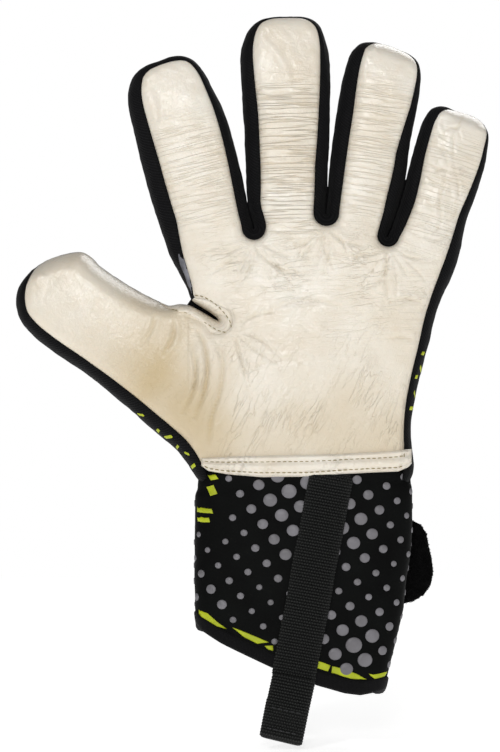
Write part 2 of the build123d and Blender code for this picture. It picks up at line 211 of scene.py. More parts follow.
STRETCHES = [
    ("thumb", THUMB_LOWER), ("thumb", THUMB_UPPER), ("notch", NOTCH), ("index", INDEX),
    ("middle", MIDDLE), ("ring", RING), ("little", LITTLE), ("palm", PALM_SIDE),
]


def catmull_rom(points, per_span=24):
    """A smooth curve through points (centripetal), and each sample's place as a fraction of the list."""
    p = np.asarray(points, float)
    ends = np.vstack([2 * p[0] - p[1], p, 2 * p[-1] - p[-2]])
    samples, places = [], []
    for i in range(1, len(ends) - 2):
        p0, p1, p2, p3 = ends[i - 1:i + 3]
        t0 = 0.0
        t1 = t0 + np.linalg.norm(p1 - p0) ** 0.5 + 1e-9
        t2 = t1 + np.linalg.norm(p2 - p1) ** 0.5 + 1e-9
        t3 = t2 + np.linalg.norm(p3 - p2) ** 0.5 + 1e-9
        last = i == len(ends) - 3
        t = np.linspace(t1, t2, per_span + (1 if last else 0), endpoint=last)[:, None]
        a1 = (t1 - t) / (t1 - t0) * p0 + (t - t0) / (t1 - t0) * p1
        a2 = (t2 - t) / (t2 - t1) * p1 + (t - t1) / (t2 - t1) * p2
        a3 = (t3 - t) / (t3 - t2) * p2 + (t - t2) / (t3 - t2) * p3
        b1 = (t2 - t) / (t2 - t0) * a1 + (t - t0) / (t2 - t0) * a2
        b2 = (t3 - t) / (t3 - t1) * a2 + (t - t1) / (t3 - t1) * a3
        samples.append((t2 - t) / (t2 - t1) * b1 + (t - t1) / (t2 - t1) * b2)
        places.append(i - 1 + (t[:, 0] - t1) / (t2 - t1))
    return np.vstack(samples), np.concatenate(places)


def smoothed(values, position, sigma):
    """Values along a line, averaged over a distance of about sigma."""
    gap = position[:, None] - position[None, :]
    weight = np.exp(-0.5 * (gap / sigma) ** 2)
    weight /= weight.sum(1, keepdims=True)
    return weight @ values


class Outline:
    """The silhouette from the wrist round the thumb and fingers and back, with its inward normals."""

    def __init__(self):
        control = [point for _, stretch in STRETCHES for point in stretch]
        labels = [name for name, stretch in STRETCHES for _ in stretch]
        control = np.array(control)
        fine, place = catmull_rom(control[:, :2])
        turn = np.diff(fine, axis=0)
        length = np.linalg.norm(turn, axis=1)
        heading = np.unwrap(np.arctan2(turn[:, 1], turn[:, 0]))
        bend = np.abs(np.diff(heading, prepend=heading[0]))
        measure = np.concatenate([[0], np.cumsum(length / STEP + np.degrees(bend) / 5.5)])
        count = int(measure[-1])
        wanted = np.linspace(0, measure[-1], count)
        place = np.interp(wanted, measure, place)
        self.point = np.stack([np.interp(wanted, measure, fine[:, k]) for k in (0, 1)], 1)
        self.s = np.concatenate([[0], np.cumsum(np.linalg.norm(np.diff(self.point, axis=0), axis=1))])
        self.label = np.array([labels[min(int(v), len(labels) - 1)] for v in place + 1e-9])
        order = np.arange(len(control))
        self.width = smoothed(np.interp(place, order, control[:, 2]), self.s, 1.0)
        self.seam = smoothed(np.interp(place, order, control[:, 3]), self.s, 1.0)
        heading = np.interp(wanted, measure, np.concatenate([heading, heading[-1:]]))
        heading = smoothed(heading, wanted, 1.5)
        self.normal = np.stack([np.sin(heading), -np.cos(heading)], 1)
        self.latex = self.point + self.normal * self.width[:, None]
        self.back = self.point + self.normal * BACK_SEAM_INSET

    def stretch(self, label):
        return np.flatnonzero(self.label == label)

    def crossings(self, finger, along):
        """First and last sample of a finger's stretch past a distance along it."""
        own = self.stretch(finger.name)
        past = own[finger.local(self.point[own])[:, 1] > along]
        return past[0], past[-1]


def inside(points, loop):
    """Which points lie inside a closed loop."""
    x, z = np.asarray(points)[:, 0], np.asarray(points)[:, 1]
    result = np.zeros(len(x), bool)
    ax, az = loop[:, 0], loop[:, 1]
    bx, bz = np.roll(ax, -1), np.roll(az, -1)
    for i in range(len(loop)):
        if az[i] == bz[i]:
            continue
        hit = (az[i] > z) != (bz[i] > z)
        result ^= hit & (x < (bx[i] - ax[i]) * (z - az[i]) / (bz[i] - az[i]) + ax[i])
    return result


outline = Outline()


class Crown:
    """How much each place puffs up: sqrt of a screened Poisson field, zero on the silhouette."""

    CELL = 1.0
    REACH = 19.0  # beyond this from an edge, a wide area is about level

    def __init__(self):
        below = np.array([(47.0, 30.0), (-47.0, 30.0)])
        loop = np.vstack([outline.point, below])
        self.low = loop.min(0) - 3
        shape = np.ceil((loop.max(0) + 3 - self.low) / self.CELL).astype(int)
        x = self.low[0] + self.CELL * np.arange(shape[0])
        z = self.low[1] + self.CELL * np.arange(shape[1])
        gx, gz = np.meshgrid(x, z, indexing="ij")
        mask = inside(np.stack([gx.ravel(), gz.ravel()], 1), loop).reshape(gx.shape)
        field = np.zeros(gx.shape)
        damping = 4 + (self.CELL / self.REACH) ** 2
        for _ in range(900):
            around = np.zeros_like(field)
            around[1:] += field[:-1]
            around[:-1] += field[1:]
            around[:, 1:] += field[:, :-1]
            around[:, :-1] += field[:, 1:]
            field = np.where(mask, (around + self.CELL ** 2) / damping, 0)
        height = np.sqrt(field)
        for _ in range(2):
            soft = height.copy()
            soft[1:-1, 1:-1] = (
                4 * height[1:-1, 1:-1] + height[:-2, 1:-1] + height[2:, 1:-1]
                + height[1:-1, :-2] + height[1:-1, 2:]
            ) / 8
            height = soft
        self.height = height

    def __call__(self, points):
        at = (np.asarray(points)[:, :2] - self.low) / self.CELL
        at = np.clip(at, 0, np.array(self.height.shape) - 1.001)
        cell = at.astype(int)
        part = at - cell
        h = self.height
        i, j = cell[:, 0], cell[:, 1]
        low = h[i, j] * (1 - part[:, 0]) + h[i + 1, j] * part[:, 0]
        high = h[i, j + 1] * (1 - part[:, 0]) + h[i + 1, j + 1] * part[:, 0]
        return low * (1 - part[:, 1]) + high * part[:, 1]


crown = Crown()


# ---------------------------------------------------------------- small noise and mesh tools

def noise(points, scale, seed=0):
    """Smooth noise from -1 to 1 over (x, z) in millimetres, scale being its grain's size."""
    grid = np.random.default_rng(seed).uniform(-1, 1, (64, 64))
    at = np.asarray(points)[:, :2] / scale + 1000.0
    cell = np.floor(at).astype(int)
    part = at - cell
    part = part * part * (3 - 2 * part)
    i, j = cell[:, 0] % 64, cell[:, 1] % 64
    i2, j2 = (i + 1) % 64, (j + 1) % 64
    low = grid[i, j] * (1 - part[:, 0]) + grid[i2, j] * part[:, 0]
    high = grid[i, j2] * (1 - part[:, 0]) + grid[i2, j2] * part[:, 0]
    return low * (1 - part[:, 1]) + high * part[:, 1]


def smoothstep(value):
    t = np.clip(value, 0, 1)
    return t * t * (3 - 2 * t)


def dome(gap, edge):
    """A quarter circle's rise, from 0 at a panel's edge to 1 at edge inside it."""
    return np.sqrt(np.clip(1 - (1 - np.clip(gap / edge, 0, 1)) ** 2, 0, 1))


def vertex_normals(points, faces):
    """Area-weighted normals of a mesh given as world points and triangles or quads."""
    normals = np.zeros((len(points), 3))
    for size in (3, 4):
        group = np.array([f for f in faces if len(f) == size])
        if not len(group):
            continue
        a, b = points[group[:, 2]] - points[group[:, 0]], points[group[:, -1]] - points[group[:, 1]]
        if size == 3:
            a, b = points[group[:, 1]] - points[group[:, 0]], points[group[:, 2]] - points[group[:, 0]]
        cross = np.cross(a, b)
        for k in range(size):
            np.add.at(normals, group[:, k], cross)
    length = np.linalg.norm(normals, axis=1, keepdims=True)
    return normals / np.maximum(length, 1e-12)


def build(name, points, faces, material, normals=None, attributes=None, smooth=True):
    """A mesh piece from world points in metres. attributes are per-vertex vectors for its material."""
    mesh = bpy.data.meshes.new(name)
    mesh.from_pydata([tuple(p) for p in points], [], [tuple(int(i) for i in f) for f in faces])
    mesh.validate()
    mesh.update()
    if smooth:
        mesh.polygons.foreach_set("use_smooth", [True] * len(mesh.polygons))
    if attributes:
        for key, values in attributes.items():
            layer = mesh.attributes.new(key, "FLOAT_VECTOR", "POINT")
            layer.data.foreach_set("vector", np.asarray(values, np.float32).ravel())
    if normals is not None:
        mesh.normals_split_custom_set_from_vertices([tuple(n) for n in normals])
    mesh.materials.append(material)
    piece = bpy.data.objects.new(name, mesh)
    bpy.context.scene.collection.objects.link(piece)
    return piece


def part_of(points, faces, normals, attributes, keep):
    """The faces in keep with only their own vertices."""
    chosen = [f for f, k in zip(faces, keep) if k]
    used = np.unique(np.concatenate([np.asarray(f) for f in chosen]))
    index = np.full(len(points), -1)
    index[used] = np.arange(len(used))
    kept = {key: np.asarray(v)[used] for key, v in (attributes or {}).items()}
    return points[used], [tuple(index[list(f)]) for f in chosen], normals[used], kept


def grid_faces(rows, columns, flip=False, closed=False):
    """Quads over rows by columns of vertices."""
    faces = []
    for i in range(rows - 1):
        for j in range(columns if closed else columns - 1):
            k = (j + 1) % columns
            quad = (i * columns + j, i * columns + k, (i + 1) * columns + k, (i + 1) * columns + j)
            faces.append(quad[::-1] if flip else quad)
    return faces


# ---------------------------------------------------------------- materials

class Look:
    """A procedural material built from a few kinds of node. Its patterns follow the piece's own attribute."""

    def __init__(self, name, roughness=0.6, specular=0.5, coat=0.0, coat_roughness=0.2, sheen=0.0):
        self.material = bpy.data.materials.new(name)
        self.material.use_nodes = True
        self.tree = self.material.node_tree
        self.shader = self.tree.nodes["Principled BSDF"]
        self.set("Roughness", roughness)
        self.set("Specular IOR Level", specular)
        self.set("Coat Weight", coat)
        self.set("Coat Roughness", coat_roughness)
        self.set("Sheen Weight", sheen)

    def set(self, socket, value):
        if hasattr(value, "is_output"):
            self.tree.links.new(value, self.shader.inputs[socket])
        else:
            self.shader.inputs[socket].default_value = value

    def node(self, kind, inputs=None, **settings):
        node = self.tree.nodes.new(kind)
        for key, value in settings.items():
            setattr(node, key, value)
        for key, value in (inputs or {}).items():
            if hasattr(value, "is_output"):
                self.tree.links.new(value, node.inputs[key])
            else:
                node.inputs[key].default_value = value
        return node

    def attribute(self, name):
        return self.node("ShaderNodeAttribute", attribute_name=name).outputs["Vector"]

    def split(self, vector):
        return self.node("ShaderNodeSeparateXYZ", {"Vector": vector}).outputs

    def stretch(self, vector, scale, turn=0.0):
        node = self.node("ShaderNodeMapping", {"Vector": vector, "Scale": scale, "Rotation": (0, 0, turn)})
        return node.outputs[0]

    def noise(self, vector, scale, detail=3.0, roughness=0.5, distortion=0.0):
        values = {"Vector": vector, "Scale": scale, "Detail": detail, "Roughness": roughness,
                  "Distortion": distortion}
        return self.node("ShaderNodeTexNoise", values).outputs["Fac"]

    def voronoi(self, vector, scale, feature="F1", output="Distance", randomness=1.0):
        values = {"Vector": vector, "Scale": scale, "Randomness": randomness}
        return self.node("ShaderNodeTexVoronoi", values, feature=feature).outputs[output]

    def wave(self, vector, scale, distortion=0.0, direction="X", profile="SIN"):
        values = {"Vector": vector, "Scale": scale, "Distortion": distortion, "Detail": 1.0}
        wave = self.node("ShaderNodeTexWave", values, bands_direction=direction, wave_profile=profile)
        return wave.outputs["Fac"]

    def math(self, operation, a, b=0.0):
        return self.node("ShaderNodeMath", {0: a, 1: b}, operation=operation).outputs[0]

    def fit(self, value, low, high, to_low=0.0, to_high=1.0):
        values = {"Value": value, "From Min": low, "From Max": high, "To Min": to_low, "To Max": to_high}
        return self.node("ShaderNodeMapRange", values).outputs[0]

    def mix(self, factor, a, b, blend="MIX"):
        node = self.node("ShaderNodeMix", data_type="RGBA", blend_type=blend)
        for socket, value in ((node.inputs[0], factor), (node.inputs[6], a), (node.inputs[7], b)):
            if hasattr(value, "is_output"):
                self.tree.links.new(value, socket)
            else:
                socket.default_value = value
        return node.outputs[2]

    def bump(self, height, distance, strength=1.0, normal=None):
        values = {"Height": height, "Distance": distance, "Strength": abs(strength)}
        if normal is not None:
            values["Normal"] = normal
        return self.node("ShaderNodeBump", values, invert=strength < 0).outputs[0]


def rgb(red, green, blue):
    """A linear colour from 0..255 screen values."""
    channels = (red, green, blue)
    return tuple((v / 255 / 12.92 if v <= 10 else ((v / 255 + 0.055) / 1.055) ** 2.4) for v in channels) + (1,)


def latex_look(name, tint=(1.0, 1.0, 1.0)):
    """Cream foam latex: fine grain, crosswise wrinkles where worn, a satin gloss, and tan painted shade where
    shade falls and along wrinkles and creases.
    """
    look = Look(name, specular=0.5)
    flat = look.attribute("flat")
    local = look.attribute("local")
    wear = look.split(look.attribute("wear"))  # wrinkled, glossy, shaded
    broad = look.noise(flat, 0.045, 3)
    mottle = look.noise(flat, 0.35, 4, 0.6)
    pale, mid, shade_tan = rgb(240, 234, 222), rgb(231, 221, 204), rgb(200, 180, 142)
    colour = look.mix(look.fit(broad, 0.35, 0.7), pale, mid)
    colour = look.mix(look.fit(mottle, 0.55, 0.8, 0, 0.22), colour, rgb(222, 203, 174))
    # Painted shade: the third channel mixes tan into the colour where shade falls on the latex.
    colour = look.mix(wear[2], colour, shade_tan)
    # Long thin folds across each finger, and finer crossed ones on the palm
    wrinkle = look.noise(look.stretch(local, (0.03, 0.50, 1)), 1.0, 2, 0.5, 0.25)
    ridge = look.math("ABSOLUTE", look.math("SUBTRACT", wrinkle, 0.5))
    lines = look.math("MULTIPLY", look.fit(ridge, 0.0, 0.045, 1, 0), wear[0])
    place = look.split(flat)
    upper = look.fit(place[1], 128, 160)
    folds = look.noise(look.stretch(look.stretch(flat, (1, 1, 1), -0.14), (0.05, 0.30, 1)), 1.0, 3, 0.55, 0.4)
    slants = look.noise(look.stretch(look.stretch(flat, (1, 1, 1), 0.5), (0.30, 0.045, 1)), 1.0, 3, 0.55, 0.4)
    folds = look.fit(look.math("ABSOLUTE", look.math("SUBTRACT", folds, 0.5)), 0.0, 0.04, 1, 0)
    slants = look.fit(look.math("ABSOLUTE", look.math("SUBTRACT", slants, 0.5)), 0.0, 0.03, 1, 0)
    # Lengthwise on the heel, crosswise under the fingers, and none on the thumb or the fingertips
    creased = look.math("ADD", look.math("MULTIPLY", folds, upper),
                        look.math("MULTIPLY", slants, look.math("SUBTRACT", 1.0, upper)))
    patchy = look.fit(look.noise(flat, 0.06, 2), 0.42, 0.6, 0.25, 1)
    on_palm = look.math("MULTIPLY", look.fit(place[0], -58, -44), look.fit(place[1], 205, 180))
    creased = look.math("MULTIPLY", look.math("MULTIPLY", creased, patchy), on_palm)
    grain = look.noise(flat, 3.2, 3, 0.6)
    crinkle = look.noise(flat, 0.5, 5, 0.55, 0.8)
    normal = look.bump(crinkle, 0.0004, 0.5)
    normal = look.bump(grain, 0.00005, 0.5, normal)
    normal = look.bump(creased, 0.00017, 1.0, normal)
    normal = look.bump(lines, 0.00026, -1.0, normal)
    look.set("Normal", normal)
    # Painted shade: the wrinkles' lines and the palm's creases are darkened to tan in the colour.
    colour = look.mix(look.math("MULTIPLY", lines, 0.35), colour, shade_tan)
    colour = look.mix(look.math("MULTIPLY", creased, 0.12), colour, shade_tan)
    look.set("Base Color", colour)
    rough = look.fit(wear[1], 0, 1, 0.36, 0.14)
    rough = look.math("SUBTRACT", rough, look.math("MULTIPLY", wear[0], 0.08))
    rough = look.math("ADD", rough, look.fit(mottle, 0.3, 0.7, -0.05, 0.06))
    look.set("Roughness", rough)
    look.set("Subsurface Weight", 0.06)
    look.shader.inputs["Subsurface Radius"].default_value = (0.004, 0.0025, 0.0015)
    return look.material


def knit_look(name, dark, light, pitch=0.75, turn=0.75, lift=0.00016, sheen=0.25, roughness=0.75):
    """A fine ribbed knit: slanting rows over a small cross grain, with lint."""
    look = Look(name, roughness=roughness, specular=0.12, sheen=sheen)
    at = look.attribute("flat")
    rows = look.wave(look.stretch(at, (1, 1, 1), turn), 0.3 / pitch, 0.5)
    cross = look.wave(look.stretch(at, (1, 1, 1), turn + 1.35), 0.3 / (pitch * 0.8), 0.8)
    weave = look.math("MULTIPLY", rows, look.fit(cross, 0, 1, 0.45, 1))
    cloud = look.noise(at, 0.12, 3)
    colour = look.mix(look.math("MULTIPLY", weave, look.fit(cloud, 0.3, 0.7, 0.5, 1)), dark, light)
    look.set("Base Color", colour)
    look.set("Normal", look.bump(weave, lift, 0.9, look.bump(look.noise(at, 1.6, 3), 0.0002, 0.4)))
    return look.material


def neoprene_look(name, dark, light):
    """Smooth knit-faced neoprene with a faint stretch grain."""
    look = Look(name, roughness=0.62, specular=0.07, sheen=0.01)
    at = look.attribute("flat")
    grain = look.wave(look.stretch(at, (1, 1, 1), 0.1), 0.55, 0.6, "Y")
    fine = look.noise(at, 2.4, 3, 0.6)
    cloud = look.noise(at, 0.07, 3)
    look.set("Base Color", look.mix(look.fit(cloud, 0.3, 0.75), dark, light))
    normal = look.bump(look.noise(at, 0.28, 3), 0.0004, 0.35)
    normal = look.bump(fine, 0.00006, 0.6, normal)
    look.set("Normal", look.bump(grain, 0.00005, 0.5, normal))
    look.set("Roughness", look.fit(fine, 0.3, 0.7, 0.56, 0.72))
    return look.material


def print_look(name, dark, light, roughness=0.42):
    """Raised rubbery print, slightly uneven in colour and wear."""
    look = Look(name, roughness=roughness, specular=0.45)
    at = look.attribute("flat")
    cloud = look.noise(at, 0.12, 3)
    speck = look.noise(at, 1.3, 3, 0.7)
    colour = look.mix(look.fit(cloud, 0.3, 0.7), dark, light)
    colour = look.mix(look.fit(speck, 0.66, 0.8, 0, 0.5), colour, dark)
    look.set("Base Color", colour)
    look.set("Normal", look.bump(speck, 0.00006, 0.5))
    return look.material


def thread_look(name, dark, light):
    """Twisted thread."""
    look = Look(name, roughness=0.5, specular=0.4, sheen=0.2)
    at = look.attribute("flat")
    twist = look.wave(look.stretch(at, (1, 1, 1), 0.6), 1.6, 0.3)
    look.set("Base Color", look.mix(twist, dark, light))
    look.set("Normal", look.bump(twist, 0.00012, 0.7))
    return look.material


def webbing_look(name, pitch, column):
    """Basket-woven yarn: painted highlights on the crowns in rows, each row shifted half a column from the last.
    """
    look = Look(name, roughness=0.5, specular=0.22, sheen=0.03)
    at = look.split(look.attribute("flat"))
    row = look.math("DIVIDE", at[1], pitch)
    odd = look.math("MULTIPLY", look.math("MODULO", look.math("FLOOR", row), 2.0), 0.5)
    across = look.math("ADD", look.math("DIVIDE", at[0], column), odd)
    crown_row = look.math("ABSOLUTE", look.math("SINE", look.math("MULTIPLY", row, math.pi)))
    crown_across = look.math("ABSOLUTE", look.math("SINE", look.math("MULTIPLY", across, math.pi)))
    weave = look.math("MULTIPLY", crown_row, crown_across)
    fray = look.noise(look.attribute("flat"), 2.2, 3)
    # Painted highlight: each weave crown is lightened in the colour, as where light catches the yarn.
    lit = look.math("MULTIPLY", look.math("POWER", weave, 1.6), look.fit(fray, 0.3, 0.7, 0.55, 1))
    look.set("Base Color", look.mix(lit, rgb(3, 3, 3), rgb(44, 46, 44)))
    look.set("Normal", look.bump(weave, 0.0005, 0.9))
    return look.material


LATEX = latex_look("latex")
LIP = latex_look("notch_lip_and_band_latex")
MESH = knit_look("gusset_mesh", rgb(3, 3, 4), rgb(24, 24, 26), 0.9, 0.75, 0.0002, 0.03)
BACKING = neoprene_look("back_neoprene", rgb(7, 7, 8), rgb(18, 18, 20))
CUFF = neoprene_look("cuff_neoprene", rgb(2, 2, 2), rgb(8, 10, 9))
BINDING = knit_look("hem_binding", rgb(3, 3, 4), rgb(16, 16, 18), 0.55, 0.05, 0.00016, 0.03)
WEBBING = webbing_look("webbing_yarn", 1.28, 1.15)
STRAP = neoprene_look("strap_face", rgb(9, 9, 10), rgb(20, 20, 22))
PILE = knit_look("loop_pile", rgb(1, 1, 1), rgb(5, 5, 6), 0.6, 0.4, 0.0004, 0.02, 0.95)
HOOK = knit_look("hook_tape", rgb(6, 6, 7), rgb(26, 26, 28), 0.9, 0.0, 0.0003, 0.02, 0.6)
ELASTIC = knit_look("stretch_panel", rgb(4, 4, 5), rgb(24, 24, 26), 1.5, 0.0, 0.0004, 0.03, 0.7)
THREAD = thread_look("tan_thread", rgb(126, 110, 66), rgb(178, 162, 112))
BLACK_THREAD = thread_look("black_thread", rgb(9, 9, 10), rgb(38, 38, 41))
WORN = print_look("worn_grey_knit", rgb(70, 70, 76), rgb(150, 150, 158), 0.6)
DOTS = print_look("grey_dots", rgb(100, 98, 101), rgb(118, 116, 121))
LIME = print_look("lime_print", rgb(158, 168, 6), rgb(192, 204, 14), 0.5)

# ---------------------------------------------------------------- latex palm and fingers

# Folds in the latex: points, depth and half-width in millimetres
CREASES = [
    ([(-45.5, 146.0), (-43.0, 139.0), (-42.0, 130.0), (-43.5, 120.0), (-47.5, 109.0)], 1.3, 1.5),
    ([(-49.0, 140.0), (-47.0, 131.0), (-48.0, 121.0), (-53.0, 111.0)], 0.9, 1.3),
    ([(-38.0, 142.0), (-35.5, 133.0), (-36.5, 121.0), (-40.5, 108.0), (-41.5, 98.0)], 0.8, 1.6),
    ([(-56.0, 150.0), (-57.0, 143.0), (-61.0, 136.0)], 0.7, 1.3),
    ([(-64.0, 154.0), (-66.0, 147.0), (-70.5, 140.0)], 0.5, 1.4),
    ([(-22.0, 183.0), (-16.0, 176.5), (-8.0, 172.0), (2.0, 170.5)], 0.7, 1.3),
    ([(-22.5, 182.0), (-23.5, 174.0), (-28.5, 166.0)], 0.6, 1.2),
    ([(-25.0, 183.5), (-33.0, 180.0), (-43.0, 179.5)], 0.5, 1.2),
    ([(8.0, 188.5), (8.5, 181.0), (12.5, 173.0)], 0.6, 1.2),
    ([(6.5, 189.5), (0.5, 184.0), (-7.5, 181.5)], 0.5, 1.1),
    ([(10.0, 189.5), (17.0, 184.5), (25.0, 183.0)], 0.5, 1.1),
    ([(35.3, 181.0), (35.0, 173.0), (30.5, 165.0)], 0.6, 1.2),
    ([(37.5, 182.5), (44.5, 178.0), (53.5, 177.5)], 0.6, 1.1),
    ([(33.0, 183.0), (26.0, 180.0), (19.0, 176.5)], 0.4, 1.1),
    ([(52.0, 158.0), (44.0, 160.0), (34.0, 158.0)], 0.45, 1.4),
    ([(50.0, 141.0), (42.0, 143.5), (33.0, 142.5)], 0.4, 1.5),
    ([(-20.0, 152.0), (-8.0, 158.0), (6.0, 159.0), (18.0, 156.0)], 0.35, 1.6),
    ([(-28.0, 128.0), (-14.0, 133.0), (2.0, 133.0)], 0.3, 1.8),
    # The little finger's collapsed skin
    ([(70.7, 240.0), (67.0, 236.8), (65.9, 234.1), (61.5, 233.2), (59.2, 229.6)], 0.7, 1.0),
    ([(65.9, 234.1), (64.3, 232.0), (64.0, 226.0), (63.8, 218.7)], 0.6, 1.0),
    ([(66.0, 233.0), (67.0, 228.2)], 0.45, 0.9),
    ([(57.9, 227.3), (60.6, 220.5), (62.0, 217.0)], 0.5, 0.9),
    ([(54.7, 214.7), (58.3, 215.5), (62.0, 217.8)], 0.5, 0.9),
    ([(64.0, 217.5), (65.2, 213.3), (66.1, 207.0), (65.7, 200.1), (63.8, 195.6), (59.7, 192.9)], 0.6, 0.9),
    ([(61.5, 216.9), (59.7, 209.2), (57.9, 202.4), (57.9, 191.6), (51.9, 186.6)], 0.6, 1.0),
    ([(51.9, 186.6), (56.9, 185.2), (60.6, 186.8), (62.0, 191.0)], 0.5, 0.9),
    ([(64.3, 216.4), (68.4, 216.9)], 0.4, 0.8),
    ([(65.7, 213.3), (69.0, 216.0)], 0.4, 0.8),
    ([(62.0, 212.0), (62.8, 204.0), (61.0, 197.0)], 0.35, 0.8),
    ([(60.0, 225.0), (57.4, 220.0), (57.0, 213.0)], 0.35, 0.9),
    # Soft ridges on the middle and index tips
    ([(-19.4, 272.9), (-12.2, 265.3), (-7.8, 257.1), (-6.5, 248.9)], -0.35, 2.6),
    ([(-64.4, 249.9), (-62.0, 243.7), (-61.6, 236.8), (-63.3, 232.0)], -0.3, 2.2),
]


def radiating_creases():
    """Shallow folds fanning out of each crotch and the slit's end, and crossing the heel of the palm."""
    draw = np.random.default_rng(17)
    folds = []
    fans = (  # centre, headings in degrees, length
        ((-22.2, 184.5), (-160, -138, -118, -62, -40, -22), 26),
        ((8.9, 190.5), (-155, -132, -108, -70, -45, -25), 24),
        ((35.8, 181.5), (-152, -130, -105, -66, -44, -24), 24),
        ((-32.0, 148.0), (-75, -45, -18, 8, 30), 26),
    )
    for (x, z), angles, reach in fans:
        for angle in angles:
            turn = math.radians(angle + draw.uniform(-6, 6))
            bend = draw.uniform(-0.5, 0.5)
            length = reach * draw.uniform(0.55, 1.15)
            run = []
            for k in range(4):
                t = 0.08 + k / 3
                a = turn + bend * t
                run.append((x + length * t * math.cos(a), z + length * t * math.sin(a)))
            folds.append((run, draw.uniform(0.25, 0.55), draw.uniform(0.8, 1.3)))
    for k in range(15):
        x, z = -36 + 5.4 * k, 95 + draw.uniform(0, 18)
        lean, length = draw.uniform(0.2, 1.3), draw.uniform(12, 26)
        run = [(x, z), (x + lean * length * 0.3, z + length * 0.4), (x + lean * length * 0.8, z + length * 0.9)]
        folds.append((run, draw.uniform(0.12, 0.3), draw.uniform(0.7, 1.0)))
    for k in range(9):
        x, z = -78 + 4.4 * k, 127 - 2.9 * k
        run = [(x + 2, z + 1), (x + 5, z + 3.2), (x + 7.5, z + 6.5)]
        folds.append((run, 0.18, 0.7))
    return folds


CREASES += radiating_creases()


def crease_depth(points):
    total = np.zeros(len(points))
    for run, depth, width in CREASES:
        curve, place = catmull_rom(run, 8)
        strength = np.sin(np.pi * np.clip(place / place[-1], 0.04, 0.96)) ** 0.6
        gap = ((points[:, None, :2] - curve[None]) ** 2).sum(2)
        nearest = gap.argmin(1)
        near = gap[np.arange(len(points)), nearest]
        groove = np.exp(-near / (2 * (width * 0.5) ** 2)) - 0.45 * np.exp(-near / (2 * (width * 1.6) ** 2))
        total -= 1.5 * depth * strength[nearest] * groove
    return total


class Distance:
    """Distance from points to a run of samples, and which sample is nearest."""

    def __init__(self, line, closed=False):
        parts = 4
        after = np.roll(line, -1, 0) if closed else line[1:]
        before = line if closed else line[:-1]
        t = np.arange(parts)[None, :, None] / parts
        fine = (before[:, None] * (1 - t) + after[:, None] * t).reshape(-1, 2)
        self.index = np.repeat(np.arange(len(before)), parts)
        self.points = fine
        self.tree = kdtree.KDTree(len(fine))
        for i, p in enumerate(fine):
            self.tree.insert((p[0], p[1], 0), i)
        self.tree.balance()

    def __call__(self, points):
        found = [self.tree.find((p[0], p[1], 0)) for p in points]
        gap = np.array([f[2] for f in found])
        return gap, self.index[np.array([f[1] for f in found])]


def triangulated(loop, rings, step, edge=None):
    """Points and triangles filling a closed loop: rings near its edge, then an even spread."""
    measure = Distance(edge if edge is not None else loop, closed=edge is None)
    ahead, behind = np.roll(loop, -1, 0), np.roll(loop, 1, 0)
    tangent = ahead - behind
    tangent /= np.maximum(np.linalg.norm(tangent, axis=1, keepdims=True), 1e-9)
    area = 0.5 * np.sum(loop[:, 0] * ahead[:, 1] - ahead[:, 0] * loop[:, 1])
    inward = np.stack([-tangent[:, 1], tangent[:, 0]], 1) * np.sign(area)
    whole = Distance(loop, closed=True)
    extra = []
    for k, ring in enumerate(rings):
        skip = 2 if ring > 1.5 else 1
        candidates = (loop + inward * ring)[(k % 2 if skip == 2 else 0)::skip]
        gap, _ = whole(candidates)
        good = inside(candidates, loop) & (gap > ring * 0.9)
        extra.append(candidates[good])
    low, high = loop.min(0), loop.max(0)
    row = step * math.sqrt(3) / 2
    columns = np.arange(low[0], high[0], step)
    lines = np.arange(low[1], high[1], row)
    gx, gz = np.meshgrid(columns, lines, indexing="ij")
    gx = gx + (np.arange(len(lines)) % 2)[None, :] * step / 2
    grid = np.stack([gx.ravel(), gz.ravel()], 1)
    grid = grid[inside(grid, loop)]
    gap, _ = whole(grid)
    extra.append(grid[gap > (rings[-1] if rings else 0) + step * 0.6])
    points = np.vstack([loop] + extra)
    edges = [(i, (i + 1) % len(loop)) for i in range(len(loop))]
    result = geometry.delaunay_2d_cdt([Vector(p) for p in points.tolist()], edges, [], 1, 1e-5)
    found = np.array([tuple(v) for v in result[0]])
    faces = []
    for f in result[2]:
        a, b, c = (found[i] for i in f)
        turn = (b[0] - a[0]) * (c[1] - a[1]) - (b[1] - a[1]) * (c[0] - a[0])
        faces.append(tuple(f) if turn > 0 else tuple(f)[::-1])
    return found, faces, measure


def slab(top, bottom, faces, front):
    """A closed sheet: top and bottom surfaces, and a wall round every free edge."""
    count = len(top)
    points = np.vstack([top, bottom])
    order = 1 if front else -1
    shell = [tuple(f)[::order] for f in faces] + [tuple(i + count for i in f)[::-order] for f in faces]
    used = {}
    for f in faces:
        for a, b in zip(f, tuple(f[1:]) + (f[0],)):
            used[(a, b)] = True
    for a, b in used:
        if (b, a) not in used:
            wall = (a, a + count, b + count, b)
            shell.append(wall[::order])
    return points, shell


def which_zone(points, slit=True):
    """The part each place belongs to: hand, or a finger's base or tip."""
    zone = np.full(len(points), "hand", dtype=object)
    for finger in FINGERS.values():
        local = finger.local(points)
        reach = {"thumb": 45.0, "index": 27.0, "middle": 24.0, "ring": 22.5, "little": 22.0}[finger.name]
        own = (local[:, 1] > finger.start) & (np.abs(local[:, 0]) < reach)
        if finger.name == "thumb":
            own &= ~above_slit(points) & (points[:, 0] < -40)
        else:
            own &= nearest_finger(points) == finger.name
        zone[own & (local[:, 1] <= finger.split)] = f"{finger.name}_base"
        zone[own & (local[:, 1] > finger.split)] = f"{finger.name}_tip"
    return zone


SLIT_END = np.array((-37.3, 150.8))
SLIT_MOUTH = np.array((-48.6, 158.3))
CROTCHES = (("index", "middle", (-22.2, 190.4)), ("middle", "ring", (8.9, 196.8)),
            ("ring", "little", (35.8, 187.0)))


def above_slit(points):
    """True on the index finger's side of the thumb's slit."""
    run = SLIT_MOUTH - SLIT_END
    offset = np.asarray(points)[:, :2] - SLIT_END
    return run[0] * offset[:, 1] - run[1] * offset[:, 0] < 0


